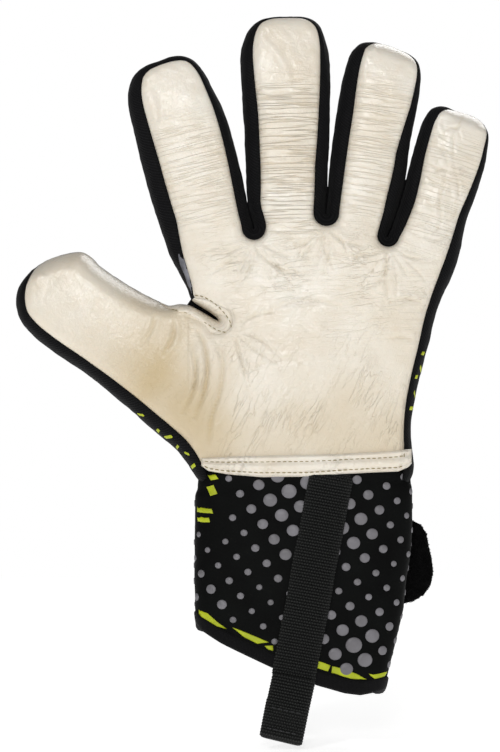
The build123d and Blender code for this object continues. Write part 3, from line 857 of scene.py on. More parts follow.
def nearest_finger(points):
    """Which finger a place above the crotches is on, from the lines between the fingers."""
    points = np.asarray(points)
    names = np.full(len(points), "index", dtype=object)
    for left, right, crotch in CROTCHES:
        way = FINGERS[left].along + FINGERS[right].along
        offset = points[:, :2] - np.array(crotch)
        right_side = way[1] * offset[:, 0] - way[0] * offset[:, 1] > 0
        names[right_side] = right
    return names


def local_grain(points):
    """(across, along) of whichever finger a place is on, and the palm's own directions elsewhere."""
    zone = nearest_finger(points)
    out = np.zeros((len(points), 3))
    out[:, 0], out[:, 1] = points[:, 0], points[:, 1]
    for name in ("index", "middle", "ring", "little"):
        mask = (zone == name) & (points[:, 1] > 176)
        local = FINGERS[name].local(points[mask])
        out[mask, :2] = local + np.array((FINGERS[name].knuckle[0], FINGERS[name].knuckle[1]))
    thumb = (points[:, 0] < -50) & ~above_slit(points)
    out[thumb, :2] = FINGERS["thumb"].local(points[thumb])
    return out


def ease(value, start, end):
    return smoothstep((value - start) / (end - start))


def latex_wrinkle_gloss_shade(points):
    """How wrinkled and glossy the latex is at each place, and how much tan painted shade its colour takes, with a
    painted highlight on the palm's middle.
    """
    finger = nearest_finger(points)
    high = points[:, 1]
    wrinkled = 0.35 * ease(high, 100, 170) * (0.6 + 0.4 * noise(points, 16, 5))
    glossy = 0.25 + 0.2 * noise(points, 17, 11)
    shaded = 0.10 + 0.06 * noise(points, 24, 3)
    ranges = {"index": (5, 48, 0.55), "middle": (-8, 52, 1.0), "ring": (0, 55, 0.65), "little": (0, 46, 0.6)}
    for name, (low, top, strength) in ranges.items():
        along = FINGERS[name].local(points)[:, 1]
        mask = (finger == name) & (along > -25)
        amount = strength * ease(along, low - 16, low) * (1 - ease(along, top - 12, top + 6))
        wrinkled = np.where(mask, np.maximum(wrinkled * (1 - ease(along, -10, 10)), amount), wrinkled)
        tip = ease(along, FINGERS[name].span + 2, FINGERS[name].span + 22)
        glossy = np.where(mask, glossy + 0.35 * tip, glossy)
        shaded = np.where(mask, shaded * (1 - 0.8 * tip), shaded)
    thumb = FINGERS["thumb"].local(points)[:, 1]
    on_thumb = np.where(above_slit(points), 0.0, ease(thumb, -20, -6))
    wrinkled = wrinkled * (1 - on_thumb) + 0.08 * on_thumb
    glossy = glossy * (1 - on_thumb) + (0.4 + 0.3 * ease(thumb, 20, 50)) * on_thumb
    # Painted shade: tan on the thumb, strongest at its root.
    shaded = shaded + on_thumb * (0.40 * (1 - ease(thumb, -10, 44)) + 0.08)
    for x, z, radius, gloss in ((-11, 152, 14, 0.5), (5, 147, 12, 0.4), (-14, 128, 9, 0.3), (44, 232, 14, 0.5),
                                (-34, 156, 8, 0.4), (60, 205, 10, 0.5)):
        spot = np.exp(-((points[:, 0] - x) ** 2 + (points[:, 1] - z) ** 2) / (2 * radius ** 2))
        glossy = glossy + gloss * spot
    # Painted shade: tan patches round the thumb's root and on the lower palm.
    for x, z, radius, tone in ((-52, 117, 13, 0.5), (-62, 128, 15, 0.28), (-40, 98, 14, 0.35), (20, 96, 26, 0.3)):
        shaded = shaded + tone * np.exp(-((points[:, 0] - x) ** 2 + (points[:, 1] - z) ** 2) / (2 * radius ** 2))
    # Painted shade darker towards the wrist, and a painted highlight lightening the middle of the palm.
    shaded = shaded + 0.22 * (1 - ease(high, 92, 128)) * (1 - on_thumb)
    shaded = shaded * (1 - 0.7 * np.exp(-((points[:, 0] + 4) ** 2 + (high - 158) ** 2) / (2 * 24 ** 2)))
    # Painted shade in the creases.
    near_crease = np.clip(-crease_depth(points), 0, 0.8)
    shaded = shaded + 0.5 * near_crease
    return np.clip(np.stack([wrinkled, glossy, shaded], 1), 0, 1)


def latex_depth(points, gap, nearest, edge_seam):
    """Depth of the latex's outer face."""
    seam = edge_seam[nearest]
    round_off = 3.0 + 5.5 * np.clip((SEAM - seam) / (SEAM + 5.5), 0, 1)
    top = 8.7 + 0.44 * crown(points)
    top += 0.30 * noise(points, 15, 21) + 0.13 * noise(points, 5.5, 22)
    top += crease_depth(points)
    local = local_grain(points)
    wear = latex_wrinkle_gloss_shade(points)
    coarse = np.abs(noise(local * np.array([0.07, 1.0, 1.0]), 2.6, 31))
    fine = np.abs(noise(local * np.array([0.10, 1.0, 1.0]), 1.7, 32))
    top += wear[:, 0] * (0.75 * np.minimum(coarse, 0.5) + 0.40 * np.minimum(fine, 0.5) - 0.35)
    rumple = np.abs(noise(points @ np.array([[0.8, 0.5], [-0.3, 0.75]]), 3.4, 33))
    top += 0.45 * np.clip(wear[:, 1] - 0.2, 0, 1) * np.minimum(rumple, 0.5)
    pucker = noise(points, 2.6, 41) * np.exp(-((gap - 2.4) / 1.8) ** 2)
    top += 0.26 * pucker
    return seam + (top - seam) * dome(gap, round_off)


def add_padded(name, body_rule, points, faces, normals, data, keep, material, nodes, front):
    """One closed panel piece cut from a whole surface, then settled by its zone."""
    top, chosen, own, kept = part_of(points, faces, normals, data, keep)
    inner = kept.pop("inner")
    both, shell = slab(world(top), world(inner), chosen, front)
    attributes = {key: np.vstack([v, v]) for key, v in kept.items()}
    piece = build(name, both, shell, material, np.vstack([own, -own]), attributes)
    settle(piece, body_rule)
    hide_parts(*nodes)
    return piece


def settle(piece, zone):
    """Attaches a piece to the body named by its zone; a finger's base or tip piece only has its transform baked.
    """
    if zone.endswith("_base") and zone[:-5] in FINGERS:
        FINGERS[zone[:-5]].blend_lower(piece)
    elif zone.endswith("_tip") and zone[:-4] in FINGERS:
        FINGERS[zone[:-4]].blend_upper(piece)
    else:
        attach(piece, zone)


def split_faces(points, faces, zones):
    """Each face's zone, from its middle."""
    centres = np.array([points[list(f), :2].mean(0) for f in faces])
    return zones(centres)


def make_latex():
    edge = outline.latex
    keep = edge[:, 1] > WRIST + 3.4
    first, last = np.flatnonzero(keep)[[0, -1]]
    run = edge[first:last + 1]
    seam = outline.seam[first:last + 1]
    closing = np.linspace(run[-1], run[0], 90)[1:-1]
    loop = np.vstack([run, closing])
    step = LATEX_STEP
    flat, faces, measure = triangulated(loop, (0.22, 0.65, 1.25, 2.0, 2.9), step, edge=run)
    gap, nearest = measure(flat)
    depth = latex_depth(flat, gap, nearest, seam)
    points = np.column_stack([flat, depth])
    under = np.column_stack([flat, np.minimum(depth - 3.2, np.where(gap < 3, seam[nearest] - 2.5, 9.0))])
    normals = vertex_normals(world(points), faces)
    data = {"flat": np.column_stack([flat, depth]), "local": local_grain(flat), "wear": latex_wrinkle_gloss_shade(flat),
            "inner": under}
    zone = split_faces(points, faces, which_zone)
    for name in ["hand"] + [f"{f}_{end}" for f in FINGERS for end in ("base", "tip")]:
        nodes = ("palm_latex", "palm_foam") if name == "hand" else (f"{name}_latex", f"{name}_foam")
        label = "palm_latex_pad" if name == "hand" else f"{name}_latex_pad"
        add_padded(label, name, points, faces, normals, data, zone == name, LATEX, nodes, True)


make_latex()

# ---------------------------------------------------------------- side rolls (mesh gussets)

ROLL_FRONT, ROLL_BACK, ROLL_WALL = 8, 8, 2.1


def roll_sections():
    """Every outline sample's closed section, as (samples, profile, 3) and which profile points are outside."""
    w, seam = outline.width[:, None], outline.seam[:, None]
    middle = np.minimum(0.0, seam - 0.8)
    front_top = np.where(seam > 5, seam + 0.35, seam)
    a = np.linspace(math.pi / 2, 0, ROLL_FRONT)[None]
    power = 2 / 2.3
    inset_f = w * (1 - np.cos(a) ** power)
    depth_f = middle + (front_top - middle) * np.sin(a) ** power
    b = np.linspace(0, math.pi / 2, ROLL_BACK)[None, 1:]
    inset_b = 0 * w + BACK_SEAM_INSET * (1 - np.cos(b) ** power)
    depth_b = middle + (-GUSSET_BACK - middle) * np.sin(b) ** power
    tuck_f = (w + 0.9, front_top - 1.6)
    tuck_b = (np.full_like(w, BACK_SEAM_INSET + 1.2), np.full_like(w, -GUSSET_BACK + 0.8))
    inset = np.hstack([tuck_f[0], inset_f, inset_b, tuck_b[0]])
    depth = np.hstack([tuck_f[1], depth_f, depth_b, tuck_b[1]])
    outer = inset.shape[1]
    reach = np.maximum(w, 1.0)
    inset = np.hstack([inset, tuck_b[0], np.full_like(w, ROLL_WALL + 0.6), np.full_like(w, ROLL_WALL),
                       reach + ROLL_WALL])
    depth = np.hstack([depth, tuck_b[1] + 1.4, middle - 4.0, middle + 1.0, tuck_f[1] - 1.4])
    n = outline.normal
    points = np.stack([outline.point[:, None, 0] + n[:, None, 0] * inset,
                       outline.point[:, None, 1] + n[:, None, 1] * inset, depth], 2)
    # The knit gives a little: soft dents and puckers along the roll
    for k in range(2, outer - 2):
        place = np.stack([outline.s, np.full(len(outline.s), 3.0 * k)], 1)
        give = 0.22 * noise(place, 7, 51) + 0.10 * noise(place, 2.4, 52)
        points[:, k, 0] += n[:, 0] * give
        points[:, k, 1] += n[:, 1] * give
    return points, outer


roll, roll_outer = roll_sections()


def roll_zones():
    zones = []
    turn = int(np.argmin(np.linalg.norm(outline.point - SLIT_END, axis=1)))
    for i, (label, point) in enumerate(zip(outline.label, outline.point)):
        if label in FINGERS:
            v = FINGERS[label].local(point)[1]
            finger = FINGERS[label]
            zone = "hand" if v < finger.start else f"{label}_base" if v <= finger.split else f"{label}_tip"
        elif label == "notch":
            zone = "notch_lower" if i < turn else "notch_upper"
        else:
            zone = "hand"
        zones.append(zone)
    return zones


def make_rolls():
    rows, columns = roll.shape[:2]
    points = world(roll.reshape(-1, 3))
    quads = grid_faces(rows, columns, closed=True)
    outward = vertex_normals(points, quads)
    middle = roll_outer // 2
    if outward[middle] @ np.array((-outline.normal[0][0], 0, -outline.normal[0][1])) < 0:
        quads = grid_faces(rows, columns, flip=True, closed=True)
        outward = vertex_normals(points, quads)
    across = np.concatenate([[0], np.cumsum(np.linalg.norm(np.diff(roll[len(roll) // 3], axis=0), axis=1))])
    flat = np.zeros((rows, columns, 3))
    flat[..., 0] = outline.s[:, None]
    flat[..., 1] = across[None]
    flat = flat.reshape(-1, 3)
    zones = roll_zones()
    cuts = [0] + [i for i in range(1, rows) if zones[i] != zones[i - 1]] + [rows - 1]
    hand_names = iter(("thumb_side", "index_side", "index_middle", "middle_ring", "ring_little", "little_side"))
    count = {}
    for start, end in zip(cuts, cuts[1:]):
        zone = zones[start]
        if zone == "hand":
            label = next(hand_names)
            nodes, body = (f"{label}_gusset",), "hand"
            name = f"{label}_gusset_roll"
        elif zone.startswith("notch"):
            name, nodes = f"{zone}_lip", ("thumb_notch_binding",)
            body = "thumb_base" if zone == "notch_lower" else "hand"
        else:
            count[zone] = count.get(zone, 0) + 1
            name, nodes, body = f"{zone}_gusset_roll_{count[zone]}", (f"{zone}_gusset",), zone
        low, high = start * columns, (end + 1) * columns
        own = points[low:high]
        faces = [tuple(i - low for i in f) for f in quads if min(f) >= low and max(f) < high]
        cap = tuple(range(columns))
        reverse = faces[0][1] == faces[0][0] + 1
        faces += [cap[::-1] if reverse else cap,
                  tuple(i + (end - start) * columns for i in (cap if reverse else cap[::-1]))]
        is_lip = zone.startswith("notch")
        # Wrinkle, gloss and a little painted shade for the latex lips.
        wear = np.tile((0.2, 0.35, 0.15), (high - low, 1))
        piece = build(name, own, faces, LIP if is_lip else MESH, outward[low:high],
                      {"flat": flat[low:high], "local": flat[low:high], "wear": wear})
        if is_lip:
            piece.data.materials.append(MESH)
            for polygon, face in zip(piece.data.polygons, faces):
                at = [i % columns for i in face]
                polygon.material_index = 0 if max(at) <= ROLL_FRONT + 3 and len(at) == 4 else 1
        settle(piece, body)
        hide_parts(*nodes)


make_rolls()


def make_webs():
    """Dark knit folds behind the thumb's slit and in the bottom of each gap between fingers."""
    folds = {
        "slit_web_fold": (
            [(-50.0, 159.4), (-46.6, 157.0), (-42.5, 154.5), (-38.4, 152.0), (-34.6, 149.8)], 2.6, -4.2, 2.6),
        "index_middle_web_fold": (
            [(-21.4, 188.0), (-22.4, 192.0), (-23.4, 196.0), (-24.3, 199.6), (-24.9, 202.2)], 1.1, -1.5, 5.0),
        "middle_ring_web_fold": (
            [(9.1, 194.0), (9.3, 198.0), (9.6, 202.0), (9.9, 206.0), (10.1, 209.0)], 1.1, -1.5, 5.0),
        "ring_little_web_fold": (
            [(35.0, 184.5), (36.6, 189.0), (38.6, 194.0), (41.5, 203.0), (44.0, 212.0)], 1.1, -1.5, 5.0),
    }
    for name, (run, half, level, tall) in folds.items():
        centre, _ = catmull_rom(run, 10)
        side = np.gradient(centre, axis=0)
        side /= np.linalg.norm(side, axis=1, keepdims=True)
        side = np.column_stack([-side[:, 1], side[:, 0]])
        t = np.linspace(0, 2 * math.pi, 16, endpoint=False)
        across, depth = half * np.cos(t), level + tall * np.sin(t)
        ring = np.stack([centre[:, None, 0] + side[:, None, 0] * across,
                         centre[:, None, 1] + side[:, None, 1] * across,
                         np.repeat(depth[None], len(centre), 0)], 2)
        n, m = ring.shape[:2]
        faces = grid_faces(n, m, closed=True)
        faces += [tuple(range(m))[::-1], tuple(i + (n - 1) * m for i in range(m))]
        points = world(ring.reshape(-1, 3))
        if vertex_normals(points, faces[:-2])[m * (n // 2) + 4][1] > 0:
            faces = [f[::-1] for f in faces]
        web = build(name, points, faces, MESH, None, {"flat": ring.reshape(-1, 3)})
        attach(web, "hand")


make_webs()


def make_worn_patch():
    """A scuffed grey patch on the side roll where the index finger meets the slit."""
    i0 = nearest_sample(-51.5, 162.0, "index")
    i1 = nearest_sample(-56.6, 177.0, "index")
    t = np.linspace(0, 2 * math.pi, 44, endpoint=False)
    wobble = 1 + 0.16 * np.sin(3 * t + 0.5) + 0.10 * np.sin(7 * t)
    i = (i0 + i1) / 2 + (i1 - i0) / 2 * np.cos(t) * wobble
    k = 2.0 + 1.5 * np.sin(t) * wobble
    loop = np.column_stack([i, k])
    stamped = stamp([loop], roll_at, 0.5, 0.16, 0.4)
    points, faces, flat = stamped
    a, b, c = (points[v] for v in faces[0])
    flip = np.cross(b - a, c - a)[1] > 0
    finish_stamp("worn_knit_patch", stamped, WORN, "hand", flip)

# ---------------------------------------------------------------- back of the hand

# Sewn channels and flex grooves on the back: points, depth and half-width
BACK_GROOVES = [
    ([(-40.0, 96.0), (-37.0, 120.0), (-33.0, 150.0), (-29.0, 178.0)], 0.9, 1.0),
    ([(40.0, 96.0), (42.0, 120.0), (43.0, 150.0), (41.0, 176.0)], 0.9, 1.0),
    ([(-29.0, 178.0), (-10.0, 187.0), (15.0, 188.0), (41.0, 176.0)], 0.9, 1.0),
    ([(-37.0, 112.0), (-14.0, 106.0), (16.0, 106.0), (41.0, 112.0)], 0.9, 1.0),
]


def back_depth(points, gap):
    """Depth of the back's outer face, negative away from the palm."""
    top = 11.6 + 0.17 * crown(points)
    top += 0.22 * noise(points, 13, 61) + 0.08 * noise(points, 5, 62)
    for run, depth, width in BACK_GROOVES:
        curve, _ = catmull_rom(run, 14)
        near = ((points[:, None] - curve[None]) ** 2).sum(2).min(1)
        top -= depth * np.exp(-near / (2 * (width * 0.6) ** 2))
    for name, finger in FINGERS.items():
        local = finger.local(points)
        own = (which_zone(points) != "hand") & (np.abs(local[:, 0]) < 30)
        on_thumb = (points[:, 0] < -44) & ~above_slit(points)
        own &= on_thumb if name == "thumb" else nearest_finger(points) == name
        for along in (0.0, finger.span, finger.span + 17.0):
            top -= np.where(own, 0.9 * np.exp(-((local[:, 1] - along) / 1.0) ** 2), 0)
            top += np.where(own, 0.35 * np.exp(-((np.abs(local[:, 1] - along) - 4.0) / 2.4) ** 2), 0)
    share = 1 - np.clip(gap / 2.6, 0, 1)
    seam = 10.0
    return -(seam + (top - seam) * np.sqrt(np.clip(1 - share ** 2, 0, 1)))


def make_back():
    edge = outline.back
    keep = outline.point[:, 1] > WRIST + 0.6
    first, last = np.flatnonzero(keep)[[0, -1]]
    run = edge[first:last + 1]
    # Keep only what stays clear of tight folds, so that the loop never crosses itself
    gap, _ = Distance(outline.point)(run)
    run = run[gap > BACK_SEAM_INSET * 0.97]
    closing = np.linspace(run[-1], run[0], 60)[1:-1]
    loop = np.vstack([run, closing])
    flat, faces, measure = triangulated(loop, (0.35, 1.0, 2.0), BACK_STEP, edge=run)
    gap, _ = measure(flat)
    depth = back_depth(flat, gap)
    points = np.column_stack([flat, depth])
    under = np.column_stack([flat, np.maximum(depth + 2.6, -9.8)])
    faces = [f[::-1] for f in faces]
    normals = vertex_normals(world(points), faces)
    data = {"flat": points, "local": local_grain(flat), "inner": under}
    zone = split_faces(points, faces, which_zone)
    for name in ["hand"] + [f"{f}_{end}" for f in FINGERS for end in ("base", "tip")]:
        nodes = ("back_of_hand_panel",) if name == "hand" else (f"{name}_back",)
        label = "back_of_hand_pad" if name == "hand" else f"{name}_back_pad"
        add_padded(label, name, points, faces, normals, data, zone == name, BACKING,
                   nodes, True)


make_back()


def back_at(points, out=0.0):
    """Points on the back's face, raised by out, from (x, z)."""
    points = np.asarray(points, float)
    return np.column_stack([points[:, :2], back_depth(points, np.full(len(points), 9.0)) - out])


# ---------------------------------------------------------------- cuff

# Side edges of the cuff as (height, x), and the hem's edge across the front as (x, height)
CUFF_LEFT = [(-20, -47.2), (12, -46.2), (20, -46.4), (26, -47.5), (40, -47.8), (60, -47.6), (74.5, -47.6),
             (79, -46.7), (81, -46.2), (84, -46.0), (88, -44.6)]
CUFF_RIGHT = [(-20, 31.5), (-10, 34.2), (0, 36.6), (9.6, 39.0), (17, 40.7), (26, 42.9), (39.5, 44.3),
              (52, 46.2), (63, 46.9), (76, 46.9), (82, 46.6), (88, 44.8)]
HEM_EDGE = [(-60, 20.5), (-46, 19.8), (-44.8, 17.4), (-36.7, 12.4), (-25.5, 7.2), (-14.4, 2.1), (5.2, -5.6),
            (17.2, -9.1), (24.1, -10.1), (34.7, -8.6), (60, -12.0)]
CUFF_DEPTH = 14.7
CUFF_WALL = 3.3
SLIT_X = 6.0
SLIT_TOP = 62.0


def along(pairs, value):
    table = np.array(pairs, float)
    return np.interp(value, table[:, 0], table[:, 1])


def hem_height(x, depth):
    """Height of the hem, wavier on the front than on the back."""
    plain = -0.344 * x
    front = smoothstep((np.asarray(depth) + 6) / 12)
    return front * along(HEM_EDGE, x) + (1 - front) * plain


class Cuff:
    """The cuff's outer surface by (s, z): s runs round it from the front's x = 0 towards the little finger."""

    def __init__(self):
        self.heights = np.arange(-24.0, 92.0, 1.0)
        self.rows = []
        angle = np.linspace(0, 2 * math.pi, 721)
        for z in self.heights:
            left, right = along(CUFF_LEFT, z), along(CUFF_RIGHT, z)
            middle, half = (left + right) / 2, (right - left) / 2
            power = 2 / 2.7
            x = middle + half * np.sign(np.sin(angle)) * np.abs(np.sin(angle)) ** power
            q = CUFF_DEPTH * np.sign(np.cos(angle)) * np.abs(np.cos(angle)) ** (power * 0.8)
            place = np.concatenate([[0], np.cumsum(np.hypot(np.diff(x), np.diff(q)))])
            signed = np.where(place > place[-1] / 2, place - place[-1], place)
            front = q > 0
            order = np.argsort(signed[front])
            origin = np.interp(0.0, x[front][order], signed[front][order])
            self.rows.append((place, x, q, origin))
        self.girth = np.array([row[0][-1] for row in self.rows])

    def at(self, s, z, out=0.0):
        s, z = np.broadcast_arrays(np.asarray(s, float), np.asarray(z, float))
        at = np.clip(z - self.heights[0], 0, len(self.rows) - 1.001)
        low = at.astype(int)
        part = at - low
        result = np.zeros(s.shape + (2,))
        slope = np.zeros(s.shape + (2,))
        for step, weight in ((0, 1 - part), (1, part)):
            for row in np.unique(low + step):
                mask = low + step == row
                place, x, q, origin = self.rows[row]
                for shift, target, sign in ((0.0, result, 0), (0.6, slope, 1), (-0.6, slope, -1)):
                    where = np.mod(s[mask] + shift + origin, place[-1])
                    value = np.stack([np.interp(where, place, x), np.interp(where, place, q)], -1)
                    target[mask] += (weight[mask][..., None] * value) * (1 if sign == 0 else sign)
        length = np.maximum(np.linalg.norm(slope, axis=-1, keepdims=True), 1e-9)
        normal = np.stack([-slope[..., 1], slope[..., 0]], -1) / length
        girth = np.interp(z, self.heights, self.girth)
        wrapped = np.stack([np.mod(s, girth), z], -1).reshape(-1, 2)
        give = 0.30 * noise(wrapped, 17, 71) + 0.10 * noise(wrapped, 6, 72)
        fold = 0.5 * np.exp(-((z - 79.5 - 2.0 * np.sin(s / 23.0)) / 1.7) ** 2)
        out = out + give.reshape(s.shape) - fold
        spot = result + normal * np.asarray(out)[..., None]
        return np.stack([spot[..., 0], z, spot[..., 1]], -1)

    def row_at(self, z):
        return self.rows[int(np.clip(round(z - self.heights[0]), 0, len(self.rows) - 1))]

    def front_s(self, x, z):
        """s of a place on the front from its x."""
        x, z = np.broadcast_arrays(np.asarray(x, float), np.asarray(z, float))
        result = np.zeros(x.shape)
        for i in np.ndindex(x.shape):
            place, xs, qs, origin = self.row_at(z[i])
            front = qs > 0
            girth = place[-1]
            signed = np.where(place > girth / 2, place - girth, place)
            order = np.argsort(signed[front])
            result[i] = np.interp(x[i], xs[front][order], signed[front][order]) - origin
        return result

    def slit(self, z):
        """s of the slit's middle on the back."""
        place, xs, qs, origin = self.row_at(z)
        back = qs < 0
        order = np.argsort(xs[back])
        return float(np.interp(SLIT_X, xs[back][order], place[back][order]) - origin)


cuff = Cuff()


def slit_gap(z):
    return np.where(z < SLIT_TOP, 4 + 9 * (SLIT_TOP - z) / SLIT_TOP, 0.0)


def cuff_grid(columns, rows):
    """(s, z) of a grid over the cuff, from the slit's one side round the front to the other."""
    heights = np.linspace(0, 1, rows)
    s = np.zeros((rows, columns))
    z = np.zeros((rows, columns))
    part = np.linspace(0, 1, columns)
    slits = np.array([cuff.slit(v) for v in cuff.heights])
    for _ in range(4):
        middle = np.interp(z, cuff.heights, slits)
        girth = np.interp(z, cuff.heights, cuff.girth)
        gap = slit_gap(z)
        s = (middle - girth + gap / 2) + part[None] * (girth - gap)
        spot = cuff.at(s, z)
        hem = hem_height(spot[..., 0], spot[..., 2])
        z = CUFF_TOP + heights[:, None] * (hem - CUFF_TOP)
    return s, z


def closed_wall(name, s, z, outer_off, inner_off, material, attributes=True):
    """A wall over a grid on the cuff, closed at all its edges."""
    rows, columns = s.shape
    outer = cuff.at(s, z, outer_off)
    inner = cuff.at(s, z, inner_off)
    count = rows * columns
    points = np.vstack([outer.reshape(-1, 3), inner.reshape(-1, 3)])
    faces = grid_faces(rows, columns, flip=True)
    faces += [tuple(i + count for i in f)[::-1] for f in faces]
    rim = [(0, j) for j in range(columns)] + [(i, columns - 1) for i in range(1, rows)]
    rim += [(rows - 1, j) for j in range(columns - 2, -1, -1)] + [(i, 0) for i in range(rows - 2, 0, -1)]
    ids = [i * columns + j for i, j in rim]
    for a, b in zip(ids, ids[1:] + ids[:1]):
        faces.append((a, b, b + count, a + count)[::-1])
    flat = np.stack([s, z, np.zeros_like(s)], -1).reshape(-1, 3)
    piece = build(name, world(points), faces, material, None, {"flat": np.vstack([flat, flat])})
    bpy.context.view_layer.update()
    return piece


def make_cuff():
    s, z = cuff_grid(190, 74)
    sleeve = closed_wall("cuff_sleeve_wall", s, z, 0.0, -CUFF_WALL, CUFF)
    sleeve.data.set_sharp_from_angle(angle=math.radians(50))
    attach(sleeve, "hand")
    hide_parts("cuff_sleeve")

    # Rolled binding over the hem's edge
    s, z = cuff_grid(230, 2)
    s, z = s[1], z[1]
    profile = [(-4.0, 5.6), (-0.2, 5.9), (0.45, 5.7), (0.78, 5.1), (0.85, 3.6), (0.92, 2.0), (0.8, 0.7),
               (0.25, -0.15), (-1.0, -0.5), (-2.4, -0.45), (-3.6, 0.0), (-4.1, 1.2), (-4.2, 4.4)]
    rows = []
    for out, up in profile:
        ripple = 0.12 * noise(np.column_stack([s, np.full_like(s, up * 2)]), 4.5, 81)
        rows.append(cuff.at(s, z + up, out + ripple))
    rows = np.array(rows).transpose(1, 0, 2)
    n, m = rows.shape[:2]
    faces = grid_faces(n, m, closed=True)
    faces += [tuple(range(m))[::-1], tuple(i + (n - 1) * m for i in range(m))]
    points = world(rows.reshape(-1, 3))
    normals = vertex_normals(points, faces[:-2])
    if normals[m * (n // 2) + 4][1] > 0:
        faces = [f[::-1] for f in faces]
        normals = -normals
    flat = np.zeros((n, m, 3))
    flat[..., 0], flat[..., 1] = s[:, None], np.array([p[1] - p[0] for p in profile])[None]
    hem = build("cuff_hem_roll", points, faces, BINDING, normals, {"flat": flat.reshape(-1, 3)})
    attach(hem, "hand")
    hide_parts("cuff_hem_binding")

    # Ribbed stretch panel inside the slit
    rows, columns = 90, 34
    heights = np.linspace(SLIT_TOP + 4, -0.344 * SLIT_X + 2.0, rows)
    part = np.linspace(-1, 1, columns)
    z = np.repeat(heights[:, None], columns, 1)
    half = slit_gap(z) / 2 + 3.0
    middle = np.array([cuff.slit(v) for v in heights])[:, None]
    s = middle + part[None] * half
    rib = 0.25 * np.sin(part * 30)[None]
    panel = closed_wall("stretch_panel_rib", s, z, -1.1 + rib, -2.4 + 0 * s, ELASTIC)
    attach(panel, "hand")
    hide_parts("cuff_stretch_panel")


make_cuff()


# ---------------------------------------------------------------- printed dots and dashes

def stamp(loops, place, step, lift, sink):
    """Flat raised patches from closed (u, v) outlines, laid on a surface by place(u, v, out)."""
    all_points, all_faces, flats = [], [], []
    base = 0
    for loop in loops:
        loop = np.asarray(loop, float)
        flat, faces, measure = triangulated(loop, (0.3,), step)
        gap, _ = measure(flat)
        out = lift * dome(gap, 0.28)
        top = place(flat[:, 0], flat[:, 1], out)
        bottom = place(flat[:, 0], flat[:, 1], np.full(len(flat), -sink))
        points, shell = slab(world(top), world(bottom), faces, True)
        all_points.append(points)
        all_faces += [tuple(i + base for i in f) for f in shell]
        flats.append(np.vstack([top, top]))
        base += len(points)
    return np.vstack(all_points), all_faces, np.vstack(flats)


def finish_stamp(name, stamped, material, body, flip=False):
    points, faces, flat = stamped
    if flip:
        faces = [f[::-1] for f in faces]
    piece = build(name, points, faces, material, None, {"flat": flat})
    piece.data.set_sharp_from_angle(angle=math.radians(60))
    settle(piece, body)
    return piece


def disc(x, z, radius, rings=20):
    a = np.arange(rings) * 2 * math.pi / rings
    return np.column_stack([x + radius * 1.04 * np.cos(a), z + radius * 0.97 * np.sin(a)])


def dot_radius(x, z):
    radius = 1.4
    for cx, cz, amount, spread in ((-6, 78, 2.2, 13), (20, 58, 1.5, 10), (21, 11, 2.4, 10), (-39, 33, 0.9, 7),
                                   (-7.6, 50, 1.1, 8), (30, 78, 0.7, 9)):
        radius += amount * math.exp(-((x - cx) ** 2 + (z - cz) ** 2) / (2 * spread ** 2))
    return min(radius, 3.7)


def make_dots():
    loops = []
    for i in range(-40, 41):
        for j in range(-24, 25):
            s = -6.9 + 4.9 * i - 3.2 * j
            z = 77.4 - 6.5 * i - 10.3 * j
            if not (-24 < z < 86):
                continue
            girth = float(np.interp(z, cuff.heights, cuff.girth))
            if not (-girth / 2 < s < girth / 2):
                continue
            spot = cuff.at(np.array([s]), np.array([z]))[0]
            x, depth = spot[0], spot[2]
            back_radius = 1.3 + 1.1 * math.exp(-((x + 20) ** 2 + (z - 70) ** 2) / 800)
            radius = dot_radius(x, z) if depth > 0 else back_radius
            radius *= 0.93 + 0.12 * float(noise(np.array([[s, z]]), 9, 91)[0])
            hem = float(hem_height(np.array([x]), np.array([depth]))[0])
            if z < hem + 8.4 + radius * (1.25 if radius < 2.4 else 0.35):
                continue
            if depth < 0 and z > 80.5 - radius:
                continue
            if abs(s) > girth / 2 - 2 or (depth < 0 and abs(x - SLIT_X) < 11):
                continue
            if x < -35 and z > 60 and depth > 0:
                continue
            loops.append(disc(s, z, radius))
    finish_stamp("cuff_dot_print", stamp(loops, cuff.at, 1.7, 0.32, 0.5), DOTS, "hand")


make_dots()


def make_cuff_lime():
    """Generic dashes and tapering strokes in lime print."""
    blocks = [
        [(-41.8, 84.0), (-38.4, 84.6), (-37.2, 82.6), (-40.4, 81.9)],
        [(-42.6, 79.0), (-39.4, 79.9), (-37.8, 76.2), (-40.8, 75.2)],
        [(-46.6, 70.2), (-40.2, 69.6), (-39.6, 67.6), (-46.6, 68.0)],
        [(-46.4, 66.0), (-41.4, 65.8), (-41.0, 63.8), (-46.2, 63.9)],
        [(-45.8, 26.0), (-42.0, 24.6), (-37.0, 20.6), (-33.4, 18.0), (-38.0, 19.2), (-45.6, 23.6)],
        [(-31.4, 19.0), (-22.1, 15.4), (-15.5, 12.6), (-20.5, 11.9), (-26.9, 15.2)],
        [(-17.4, 11.0), (-13.9, 11.2), (-13.7, 9.0), (-16.0, 9.6)],
        [(4.6, 5.1), (10.9, 2.7), (9.9, 0.2), (4.6, 1.5)],
        [(11.6, 2.3), (19.0, 0.4), (22.2, -1.2), (26.6, -3.6), (19.8, -3.2), (11.3, -0.4)],
        [(27.4, -1.2), (30.2, -1.7), (35.6, -0.6), (34.4, -2.9), (30.2, -4.0)],
    ]
    loops = []
    for block in blocks:
        block = np.array(block)[::-1]
        curve = []
        for a, b in zip(block, np.roll(block, -1, 0)):
            count = max(2, int(np.hypot(*(b - a)) / 1.3))
            curve += [a + (b - a) * k / count for k in range(count)]
        curve = np.array(curve)
        curve += 0.14 * np.column_stack([noise(curve, 1.6, 95), noise(curve, 1.6, 96)])
        s = cuff.front_s(curve[:, 0], curve[:, 1])
        loop = np.column_stack([s, curve[:, 1]])
        loops.append(loop)
    finish_stamp("cuff_lime_print", stamp(loops, cuff.at, 1.4, 0.2, 0.5), LIME, "hand")


make_cuff_lime()

# ---------------------------------------------------------------- stitches

